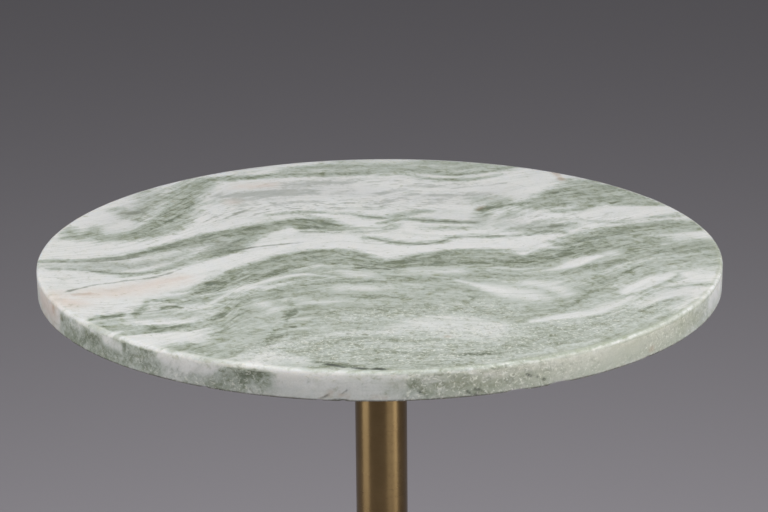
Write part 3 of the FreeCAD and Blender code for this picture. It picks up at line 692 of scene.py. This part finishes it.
DASHED = [
    [(-108, 66, 10), (-84, 84, 14), (-40, 92, 14), (10, 98, 18), (55, 104, 16)],
    [(-60, 142, 6), (0, 146, 8), (50, 138, 10)], [(-98, 114, 6), (-75, 118, 8), (-48, 122, 7)],
    [(90, 60, 8), (130, 58, 6), (180, 60, 5)], [(-170, -52, 5), (-185, -48, 4)],
    [(-155, -108, 6), (-118, -100, 8)],
]
SUGARY = [
    [(-60, -172, 14), (-10, -165, 26), (45, -165, 30), (100, -140, 22), (150, -108, 12)],
    [(-20, -120, 12), (60, -110, 16)],
]
BLUSH = [
    [(-186, -80, 7), (-178, -88, 8), (-168, -92, 6)],
    [(-165, -78, 6), (-145, -72, 8), (-130, -63, 7), (-114, -52, 5)], [(-90, 137, 3), (-72, 140, 4)],
    [(-95, 103, 2)],
]
RUST = [
    [(62, 80, 0.6), (66, 87, 0.8)], [(72, 103, 1)], [(118, 162, 2.5), (121, 146, 2)],
    [(-172, -78, 1.5), (-164, -76, 1.5)], [(36, -152, 1.2)], [(-132, 104, 1)],
]
# The same on the edge as seen from the front: mm round the rim from the front, to the right, and mm down.
EDGE_GREEN = [
    [(-212, 6, 5), (-204, 11, 7), (-196, 10, 7)],
    [(-188, 8, 7), (-172, 11, 7), (-156, 8, 7), (-142, 5, 6), (-126, 2, 3)],
    [(-170, 14, 4), (-150, 13, 4), (-132, 11, 4), (-120, 6, 3)],
    [(-92, 14, 5), (-82, 9, 7), (-70, 4, 7), (-60, 1, 5)],
    [(16, 10, 0), (30, 8, 2), (44, 9, 5), (58, 11, 4), (66, 11, 1)],
    # This thin band along the arris is painted shade: it darkens the arris so that it shows less of the
    # lamp's highlight.
    [(18, 2, -1), (38, 2.5, 0), (56, 3, -1)],
]
EDGE_PALE_GREEN = [
    [(16, 12, 4), (26, 12, 4)], [(42, 12, 4), (58, 13, 4)], [(66, 7, 4), (82, 9, 4)],
    [(195, 8, 8), (220, 8, 9), (238, 8, 6)], [(-110, 14, 3), (-98, 15, 3)],
    [(-214, 9, 8), (-190, 9, 9), (-160, 9, 8), (-130, 8, 8)], [(-95, 10, 7), (-62, 8, 7)],
]
EDGE_DARK = [
    [(-213, 6, 1), (-210, 12, 2)], [(-201, 8, 1), (-198, 13, 1)], [(-140, 7, 1), (-132, 4, 1)],
    [(-58, 2, 1), (-64, 8, 1)], [(-88, 7, 0.8)], [(17, 8, 2), (24, 13, 3)],
    [(45, 12, 2.2), (56, 15, 2.5)], [(78, 8, 1.6), (88, 12, 1.6)],
]
EDGE_WHITE = [
    [(-166, 5, 3), (-154, 6, 3)], [(-262, 8, 9), (-225, 8, 9)], [(-120, 3, 6), (-94, 4, 6)],
    [(-45, 8, 9), (5, 6, 8)], [(128, 8, 5), (152, 7, 4)], [(236, 8, 5), (262, 8, 9)],
]
EDGE_CRACKS = [
    [(-32, 16.2, 0.6), (-29.5, 14.4, 0.7), (-28, 13.6, 0.6), (-26.6, 12.5, 0.3)],
    [(-25.2, 15.8, 0.3), (-22.8, 15.3, 0.5), (-18.5, 15.6, 0.6), (-16.6, 15.6, 0.3)],
    [(-20, 12, 0.1), (-17.6, 10.4, 0.3)], [(19, 11, 0.4), (20, 12, 0.6)],
    [(22, 13.5, 0.5), (24, 14, 0.5)], [(10.5, 13, 0.2), (13.5, 14.5, 0.5)],
    [(44.5, 13, 0.7), (46, 14, 0.7)], [(49, 12, 0.8), (52, 13.3, 0.7)],
    [(47, 15, 0.6), (50, 15.6, 0.7)], [(54, 14.5, 0.5), (57, 15.3, 0.5)],
    [(77, 7.6, 0.6), (80, 9, 0.9)], [(83, 9.6, 0.7), (84, 10.6, 0.6)],
    [(87, 11.8, 0.7), (88, 12.4, 0.5)],
]
EDGE_SUGARY = [
    [(-10, 9, 2), (20, 8, 12), (60, 8, 14), (110, 8, 3), (160, 8, 5), (260, 8, 6)],
    [(-112, 13, 6), (-70, 11, 8)], [(-200, 9, 3), (-130, 11, 3)],
]
EDGE_VEILS = [[(-118, 10, 3), (-96, 12, 3)], [(205, 9, 9), (245, 9, 9)]]
EDGE_CREAM = [[(6, 8, -2), (28, 9, 3), (60, 9, 9), (130, 9, 11), (190, 9, 9), (225, 9, 0)]]
EDGE_BLUSH = [[(-262, 8, 8), (-228, 6, 8)]]
EDGE_RUST = [
    [(-30.5, 15, 0.8), (-26, 12.3, 1)], [(-21, 13, 0.6), (-17, 13.2, 0.6)],
    [(-4, 13.8, 0.4), (3, 14.6, 0.4)], [(163, 12, 1.4)], [(-228, 4, 1.8)],
]
# Lines are sampled every SAMPLE mm, and a point further than FAR mm outside a band counts as that far.
SAMPLE = 1.2
FAR = 14.0


def smooth_line(points):
    """A Catmull-Rom curve through the points, width included, sampled about every SAMPLE mm."""
    knots = np.array(points, dtype=float)
    if len(knots) == 1:
        return knots
    padded = np.concatenate([[2 * knots[0] - knots[1]], knots, [2 * knots[-1] - knots[-2]]])
    spans = np.hypot(*np.diff(knots[:, :2], axis=0).T)
    steps = np.linspace(0, 1, max(2, int(spans.max() / SAMPLE)), endpoint=False)[None, :, None]
    a, b, c, d = (padded[i:i + len(knots) - 1, None, :] for i in range(4))
    curve = b + 0.5 * steps * (c - a + steps * (2 * a - 5 * b + 4 * c - d + steps * (3 * (b - c) + d - a)))
    return np.concatenate([curve.reshape(-1, 3), knots[-1:]])


def inside_bands(x, y, bands):
    """How deep each point lies inside the nearest band, in mm: half width less distance to its line."""
    depth = np.full(x.shape, -FAR)
    for band in bands:
        line = smooth_line(band)
        reach = line[:, 2].max() + FAR
        near = np.flatnonzero((x > line[:, 0].min() - reach) & (x < line[:, 0].max() + reach)
                              & (y > line[:, 1].min() - reach) & (y < line[:, 1].max() + reach))
        gap = np.hypot(x[near, None] - line[:, 0], y[near, None] - line[:, 1])
        depth[near] = np.maximum(depth[near], (line[:, 2] - gap).max(axis=1))
    return depth


# Six marker layers right across the face, back to front, as (x, y) in mm: the folds that the grain of
# the stone follows between them. Each carries its place in the stack, also in mm. Where two come close,
# they count as PINCHED mm apart.
PINCHED = 4
MARKER_LAYERS = [
    (168, [(-215, 10), (-178, 26), (-152, 48), (-132, 84), (-113, 124), (-95, 149), (-70, 162),
           (-30, 166), (0, 165), (50, 160), (75, 168), (110, 182), (215, 200)]),
    (58, [(-215, -18), (-155, -13), (-125, 5), (-100, 26), (-75, 45), (-48, 56), (-28, 46), (0, 46),
          (14, 60), (38, 56), (64, 54), (80, 72), (100, 92), (130, 108), (160, 122), (215, 140)]),
    (-8, [(-215, -95), (-150, -98), (-112, -88), (-93, -70), (-75, -45), (-50, -20), (-25, -6),
          (0, -18), (30, -8), (60, -6), (85, -10), (105, 2), (125, 20), (150, 36), (215, 58)]),
    (-68, [(-215, -165), (-150, -145), (-115, -136), (-86, -118), (-78, -92), (-58, -72), (-25, -60),
           (25, -62), (50, -70), (80, -75), (100, -70), (120, -52), (140, -32), (165, -15), (215, 8)]),
    (-125, [(-215, -215), (-120, -180), (-90, -158), (-70, -140), (-48, -124), (-20, -118), (20, -124),
            (60, -130), (90, -124), (115, -114), (135, -97), (155, -70), (180, -58), (215, -45)]),
    (-185, [(-215, -260), (-60, -205), (0, -190), (60, -190), (110, -170), (145, -130), (175, -98),
            (215, -75)]),
]


def bedding(x, y):
    """Distance along the layers and place in the stack, in mm, interpolated between marker layers."""
    heights = []
    lengths = []
    for place, points in MARKER_LAYERS:
        station, level = np.array(points, dtype=float).T
        run = np.concatenate([[0], np.cumsum(np.hypot(np.diff(station), np.diff(level)))])
        heights.append(np.interp(x, station, level))
        lengths.append(np.interp(x, station, run - np.interp(0, station, run)))
    stack = MARKER_LAYERS[0][0] + (y - heights[0])
    along = lengths[0].copy()
    for upper in range(len(MARKER_LAYERS) - 1):
        gap = np.maximum(heights[upper] - heights[upper + 1], PINCHED)
        share = (heights[upper] - y) / gap
        thickness = MARKER_LAYERS[upper][0] - MARKER_LAYERS[upper + 1][0]
        past = share > 0
        stack = np.where(past, MARKER_LAYERS[upper][0] - share * thickness, stack)
        blend = np.clip(share, 0, 1)
        along = np.where(past, (1 - blend) * lengths[upper] + blend * lengths[upper + 1], along)
    return along, stack


# The layers dip to the left going down, about 45 degrees, so deeper points repeat the face further right.
# The edge's own bands take over from the face's in the first EDGE_BLEND mm down, and give way to them again
# behind, in the last END_FADE mm before EDGE_END mm round the rim.
DIP = 1.0
EDGE_BLEND = 2.5
EDGE_END = 275
END_FADE = 20
plan = slab_points / MM
from_axis = np.hypot(plan[:, 0], plan[:, 1])
turn = np.arctan2(plan[:, 0], -plan[:, 1])
down = TOP_FACE / MM - plan[:, 2]
face_x = plan[:, 0] + DIP * down
face_y = plan[:, 1]
round_rim = TOP_RADIUS / MM * turn
on_edge = from_axis > TOP_RADIUS / MM - EDGE_BLEND
before_end = np.clip((EDGE_END - np.abs(round_rim)) / END_FADE, 0, 1)
drawn = on_edge * np.clip(down / EDGE_BLEND, 0, 1) * before_end
LAYERS = {
    "green": (GREEN_BANDS, EDGE_GREEN), "mid_green": (MID_GREEN_BANDS, []), "cream": ([], EDGE_CREAM),
    "pale_green": (PALE_GREEN_BANDS, EDGE_PALE_GREEN), "dark": (DARK_VEINS, EDGE_DARK),
    "white": (WHITE_LENSES, EDGE_WHITE), "cloud": (SOFT_CLOUDS, []), "grey": (GREY_STREAKS, []),
    "line": (FINE_LINES, []), "crack": (CRACKS, EDGE_CRACKS), "veil": (VEILS, EDGE_VEILS),
    "dashed": (DASHED, []), "sugary": (SUGARY, EDGE_SUGARY), "blush": (BLUSH, EDGE_BLUSH),
    "rust": (RUST, EDGE_RUST),
}


def keep(layer, field):
    """Keeps a layer's field on the slab, one number for each point."""
    slab.data.attributes.new(layer, "FLOAT", "POINT").data.foreach_set("value", field)


for layer, (on_face, round_edge) in LAYERS.items():
    over_face = inside_bands(face_x, face_y, on_face)
    over_edge = inside_bands(round_rim, down, round_edge)
    keep(layer, (1 - drawn) * over_face + drawn * over_edge)
# Along the upper arris, a painted highlight makes it paler in some stretches, and painted shade makes it
# duller in others, muting the lamp's own highlight there. Both are lowered by ARRIS_START, fall by 1 for
# each mm away, and end ARRIS_END mm down. Stretches as (degrees from the front, half width, how much).
ARRIS_START = 0.6
ARRIS_END = 3
ARRIS_HIGHLIGHTS = [(-20, 24, 1.4), (-50, 10, 1.0), (120, 30, 0.9), (-120, 30, 0.9), (180, 20, 0.9)]
ARRIS_SHADES = [(14, 8, 1.6), (28, 12, 2.2), (44, 12, 2.2), (60, 12, 2.0), (78, 12, 1.6)]
from_arris = from_axis - down - flat_radius / MM
for layer, stretches in (("arris_highlight", ARRIS_HIGHLIGHTS), ("arris_shade", ARRIS_SHADES)):
    field = bumps(np.degrees(turn), stretches) - ARRIS_START - np.abs(from_arris)
    keep(layer, np.where(down < ARRIS_END, field, -FAR))
# Painted shade: the foot of the edge is painted darker, as light falling from above leaves it in shade,
# mm below a line 12 mm down. The lower arris is painted near black, part grime and part painted shade
# under the turn: mm below where it turns in.
WALL_SHADE_LINE = 12
keep("lower_wall_shade", np.where(on_edge, down - WALL_SHADE_LINE, -FAR))
keep("grime_and_shade", np.where(on_edge, down - wall_foot / MM, -FAR))
along, stack = bedding(face_x, face_y)
bed = np.stack([along, stack, down], axis=-1)
slab.data.attributes.new("bedding", "FLOAT_VECTOR", "POINT").data.foreach_set("vector", bed.ravel())

# Honed marble: no polish, so a soft broad sheen, and light enters a few millimetres before it comes back,
# so edges glow. Folded layers give the eye long streaks, clumps of olive mica on a cool grey ground, and
# sugary calcite. Each noise: mm along and across the layers, or over the slab as it lies, octaves, and how
# far it is twisted. Each is read NOISE_STEP further on than the one before, so that no two are alike.
LAYERED_NOISES = {"sweep": (60.0, 10.0, 4, 0.6), "flow": (38.0, 8.0, 3, 0.8),
                  "wisp": (26.0, 7.0, 3, 1.2), "dash": (9.0, 2.4, 2, 0.6)}
SCATTERED_NOISES = {"clump": (8.0, 7.0, 5, 0.8), "fleck": (3.2, 2.8, 3, 0.6),
                    "tint": (14.0, 10.0, 2, 0.5), "crystal": (1.9, 1.6, 1, 1.0)}
NOISE_STEP = Vector((5.0, 3.0, 0.0))
GRAIN = 0.9 * MM
marble = empty_material("honed_green_marble")
layered = add(marble, "Attribute", attribute_name="bedding").outputs["Vector"]
place = add(marble, "TexCoord").outputs["Object"]
noise = {}
for source, unit, noises in ((layered, 1.0, LAYERED_NOISES), (place, MM, SCATTERED_NOISES)):
    for name, (along_mm, across_mm, octaves, twist) in noises.items():
        scale = (1 / (along_mm * unit), 1 / (across_mm * unit), 1 / (across_mm * unit))
        spread = add(marble, "Mapping", {"Vector": source, "Location": NOISE_STEP * len(noise),
                                         "Scale": scale})
        noise[name] = add(marble, "TexNoise", {"Vector": spread, "Scale": 1.0, "Detail": octaves,
                                               "Roughness": 0.65, "Distortion": twist})
grain = add(marble, "TexNoise", {"Vector": place, "Scale": 1 / GRAIN, "Detail": 1.0})


def swing(start, shares):
    """start plus each noise's swing about its middle times its share."""
    total = start - sum(shares.values()) / 2
    for name, share in shares.items():
        total = add(marble, "Math", {0: noise[name], 1: share, 2: total}, operation="MULTIPLY_ADD")
    return total


# Ragged edges: each noise moves a layer's edge by up to its share in mm, either way.
ragged = swing(0.0, {"sweep": 11.0, "clump": 7.0, "fleck": 3.5})


def layer_amount(layer, softness, share, strength):
    """0 outside the layer to strength inside: its depth in mm, made ragged, through a smooth step."""
    field = add(marble, "Attribute", attribute_name=layer).outputs["Fac"]
    edge = add(marble, "Math", {0: ragged, 1: share, 2: field}, operation="MULTIPLY_ADD")
    return add(marble, "MapRange", {"Value": edge, "From Min": -softness, "From Max": softness,
                                    "To Max": strength}, interpolation_type="SMOOTHSTEP")


# How much green mica there is: the strongest layer at each point, thinned by white lenses and clouds.
MICA_LAYERS = {"mid_green": (7.0, 1.0, 0.38), "green": (5.0, 0.8, 0.45), "dark": (4.0, 0.8, 0.58)}
WHITE_LAYERS = {"white": (2.6, 0.45, 0.92), "cloud": (7.0, 1.2, 0.8)}
mica = layer_amount("pale_green", 9.0, 1.1, 0.29)
for layer, sizes in MICA_LAYERS.items():
    mica = add(marble, "Math", {0: mica, 1: layer_amount(layer, *sizes)}, operation="MAXIMUM")
around = {}
for layer, sizes in WHITE_LAYERS.items():
    around[layer] = add(marble, "Math", {0: 1.0, 1: layer_amount(layer, *sizes)}, operation="SUBTRACT")
    mica = add(marble, "Math", {0: mica, 1: around[layer]}, operation="MULTIPLY")
# White wisps run along the layers where their noise crosses its middle, and faint streaks in the white.
from_middle = add(marble, "Math", {0: noise["wisp"], 1: 0.5}, operation="SUBTRACT")
crossing = add(marble, "Math", {0: from_middle}, operation="ABSOLUTE")
kept = add(marble, "MapRange", {"Value": crossing, "From Min": 0.0, "From Max": 0.05, "To Min": 0.8,
                                "To Max": 1.0}, interpolation_type="SMOOTHSTEP")
mica = add(marble, "Math", {0: mica, 1: kept}, operation="MULTIPLY")
streak = add(marble, "MapRange", {"Value": noise["flow"], "From Min": 0.44, "From Max": 0.7,
                                  "To Min": 0.01, "To Max": 0.09}, interpolation_type="SMOOTHSTEP")
mica = add(marble, "Math", {0: mica, 1: streak}, operation="ADD")
drift = swing(1.0, {"sweep": 1.7, "flow": 1.0, "clump": 1.0})
mica = add(marble, "Math", {0: mica, 1: drift}, operation="MULTIPLY")

# White calcite through a cool grey ground to grey green, by how much mica there is.
SHADES = ((0.02, 0.24, "#c0c6be"), (0.24, 0.45, "#a7aea1"), (0.45, 0.75, "#858e7e"))
stone = add(marble, "Mix", {0: noise["sweep"], FIRST: linear("#ececea"), SECOND: linear("#dcdddb")})
for start, full, ground in SHADES:
    amount = add(marble, "MapRange", {"Value": mica, "From Min": start, "From Max": full})
    stone = add(marble, "Mix", {0: amount, FIRST: stone, SECOND: linear(ground)})
# Sugary stone: bright crystals of calcite with dull ones between them, thick in places and thin elsewhere.
SUGAR_ANYWHERE = 0.06
sugary = layer_amount("sugary", 12.0, 1.2, 0.75)
sugary = add(marble, "Math", {0: sugary, 1: around["white"], 2: SUGAR_ANYWHERE}, operation="MULTIPLY_ADD")
# Flecks of mica lie on that ground, closer together where there is more of it, some cool, some olive.
crowd = add(marble, "Math", {0: mica, 1: 0.5, 2: swing(-0.12, {"clump": 0.8, "fleck": 0.8})},
            operation="MULTIPLY_ADD")
flecks = add(marble, "MapRange", {"Value": crowd, "From Min": -0.04, "From Max": 0.34, "To Max": 0.85},
             interpolation_type="SMOOTHSTEP")
hue = add(marble, "MapRange", {"Value": swing(0.5, {"tint": 1.8, "fleck": 1.6, "clump": 1.2})})
rich = add(marble, "MapRange", {"Value": mica, "From Min": 0.15, "From Max": 0.6})
FLECK_SHADES = (("#97a192", "#9ca37f"), ("#656f61", "#6b7356"))
pale_fleck, dark_fleck = (add(marble, "Mix", {0: hue, FIRST: linear(cool), SECOND: linear(olive)})
                          for cool, olive in FLECK_SHADES)
fleck_colour = add(marble, "Mix", {0: rich, FIRST: pale_fleck, SECOND: dark_fleck})
stone = add(marble, "Mix", {0: flecks, FIRST: stone, SECOND: fleck_colour})
# Short dashes of mica lie along the layers in some of the white.
dashes = add(marble, "MapRange", {"Value": noise["dash"], "From Min": 0.54, "From Max": 0.68})
dashed = layer_amount("dashed", 14.0, 1.0, 0.8)
dashes = add(marble, "Math", {0: dashes, 1: dashed}, operation="MULTIPLY")
stone = add(marble, "Mix", {0: dashes, FIRST: stone, SECOND: linear("#868d80")})
# Stains and veils, one over the other: softness in mm, share of the ragged edge, strength and colour.
# Among them, the lower wall's darkening is painted shade, the lower arris is grime with painted shade,
# and along the upper arris there is a painted highlight in some stretches and painted shade in others.
TINTS = (
    ("veil", 18.0, 1.6, 0.36, "#c6c7c6"), ("grey", 5.0, 2.4, 0.55, "#979d95"),
    ("cream", 8.0, 1.2, 0.7, "#aeb09b"), ("lower_wall_shade", 9.0, 0.8, 0.5, "#8d9a8c"),
    ("grime_and_shade", 0.6, 0.1, 0.9, "#3f3d36"), ("blush", 10.0, 1.6, 0.36, "#dcbfa9"),
    ("arris_highlight", 0.9, 0.5, 0.4, "#f0f0ec"), ("arris_shade", 1.2, 0.5, 0.55, "#a3a999"),
    ("rust", 2.4, 0.6, 0.5, "#b3967a"), ("line", 1.0, 0.3, 0.8, "#747b69"),
)
CRACK_TINT = ("crack", 0.7, 0.12, 0.9, "#4a4f47")
SUGAR_GRAINS = (("fleck", 0.5, 0.7, "#8b9082"), ("crystal", 0.54, 0.7, "#ecede4"))


def tinted(ground, layer, softness, share, strength, colour):
    """The ground with one layer's colour laid over it."""
    amount = layer_amount(layer, softness, share, strength)
    return add(marble, "Mix", {0: amount, FIRST: ground, SECOND: linear(colour)})


for tint in TINTS:
    stone = tinted(stone, *tint)
for name, start, full, colour in SUGAR_GRAINS:
    grains = add(marble, "MapRange", {"Value": noise[name], "From Min": start, "From Max": full,
                                      "To Max": 0.85})
    grains = add(marble, "Math", {0: grains, 1: sugary}, operation="MULTIPLY")
    stone = add(marble, "Mix", {0: grains, FIRST: stone, SECOND: linear(colour)})
stone = tinted(stone, *CRACK_TINT)
grain_tone = add(marble, "MapRange", {"Value": grain, "From Min": 0.3, "From Max": 0.7, "To Min": 0.96,
                                      "To Max": 1.03})
stone = add(marble, "Mix", {0: 1.0, FIRST: stone, SECOND: grain_tone}, blend_type="MULTIPLY")
honing = add(marble, "MapRange", {"Value": grain, "To Min": 0.34, "To Max": 0.5})
pores = add(marble, "Bump", {"Height": grain, "Strength": 0.15, "Distance": 0.03 * MM})
shader = add(marble, "BsdfPrincipled", {"Base Color": stone, "Roughness": honing, "Normal": pores,
                                        "IOR": 1.49, "Subsurface Weight": 0.9,
                                        "Subsurface Radius": (1.0, 0.92, 0.8),
                                        "Subsurface Scale": 10 * MM})
add(marble, "OutputMaterial", {"Surface": shader})
slab.data.materials.append(marble)
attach(slab, "table")
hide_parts("marble_top")


# Floor: a plain pale grey sweep, level under the glides. Its paint is matt, so it takes a soft shadow
# and mirrors nothing.
FLOOR_REACH = 14.0
FLOOR_GREY = "#b1adb3"
corners = np.array([(-1, -1), (1, -1), (1, 1), (-1, 1)]) * FLOOR_REACH
floor = make_piece("studio_floor", np.column_stack([corners, np.zeros(4)]), [(0, 1, 2, 3)])
pale_floor = empty_material("pale_floor")
shader = add(pale_floor, "BsdfPrincipled", {"Base Color": linear(FLOOR_GREY), "Roughness": 0.9,
                                            "Specular IOR Level": 0.2})
add(pale_floor, "OutputMaterial", {"Surface": shader})
floor.data.materials.append(pale_floor)


# Studio light: an even grey room, one wide box overhead and a tall box on each side towards the
# camera, which draw the two upright stripes on the stem. A weaker box fills in between.
ROOM_LEVEL = 0.16
ROOM_GREY = "#f4f4f6"
room = bpy.data.worlds.new("studio_room")
room.use_nodes = True
room.node_tree.nodes.clear()
backdrop = add(room, "Background", {"Color": linear(ROOM_GREY), "Strength": ROOM_LEVEL})
add(room, "OutputWorld", {"Surface": backdrop})
bpy.context.scene.world = room
AIM = Vector((0, 0, 0.5))


def soft_box(name, place, width, height, level):
    """An area lamp that faces the upper table; level is the radiance of its face, 1 being white."""
    lamp = bpy.data.lights.new(name, "AREA")
    lamp.shape = "RECTANGLE"
    lamp.size = width
    lamp.size_y = height
    lamp.energy = level * math.pi * width * height
    box = bpy.data.objects.new(name, lamp)
    facing = (AIM - Vector(place)).to_track_quat("-Z", "Y").to_matrix().to_4x4()
    box.matrix_world = Matrix.Translation(place) @ facing
    bpy.context.scene.collection.objects.link(box)


def beside_camera(degrees, distance, height):
    """A place so many degrees to the right of the camera as seen from the table."""
    turn = math.radians(degrees)
    return (distance * math.sin(turn), -distance * math.cos(turn), height)


soft_box("box_overhead", (0.0, -0.35, 2.15), width=1.1, height=1.1, level=5.5)
soft_box("box_left", beside_camera(-72, 1.04, 0.66), width=0.64, height=1.28, level=1.75)
soft_box("box_right", beside_camera(63, 1.04, 0.7), width=0.336, height=1.2, level=3.65)
soft_box("box_fill", beside_camera(38, 1.2, 0.7), width=0.64, height=1.2, level=1.4)


# Camera: long lens, a little above the table. The picture is 768 by 512, and the middle of the face
# falls at FACE_PIXEL in it.
PICTURE = (768, 512)
FACE_PIXEL = (379.6, 249.3)
FOCAL_PIXELS = 2177
SENSOR = 36.0
DISTANCE = 1.3014
VIEW_DEPTH = 100
ELEVATION = math.radians(17.9)
ROLL = math.radians(-0.53)
lens = bpy.data.cameras.new("camera")
lens.sensor_width = SENSOR
lens.lens = FOCAL_PIXELS * SENSOR / PICTURE[0]
lens.clip_end = VIEW_DEPTH
view_right = Vector((1, 0, 0))
view_up = Vector((0, math.sin(ELEVATION), math.cos(ELEVATION)))
view_back = Vector((0, -math.cos(ELEVATION), math.sin(ELEVATION)))
stand = Vector((0, 0, TOP_FACE)) + view_back * DISTANCE
pixel = DISTANCE / FOCAL_PIXELS
aim = Vector((0, 0, TOP_FACE)) + view_right * (PICTURE[0] / 2 - FACE_PIXEL[0]) * pixel
aim -= view_up * (PICTURE[1] / 2 - FACE_PIXEL[1]) * pixel
camera = bpy.data.objects.new("camera", lens)
level_view = (aim - stand).to_track_quat("-Z", "Y").to_matrix()
camera.matrix_world = Matrix.Translation(stand) @ (level_view @ Matrix.Rotation(ROLL, 3, "Z")).to_4x4()
bpy.context.scene.collection.objects.link(camera)
bpy.context.scene.camera = camera
bpy.context.scene.view_settings.view_transform = "Standard"
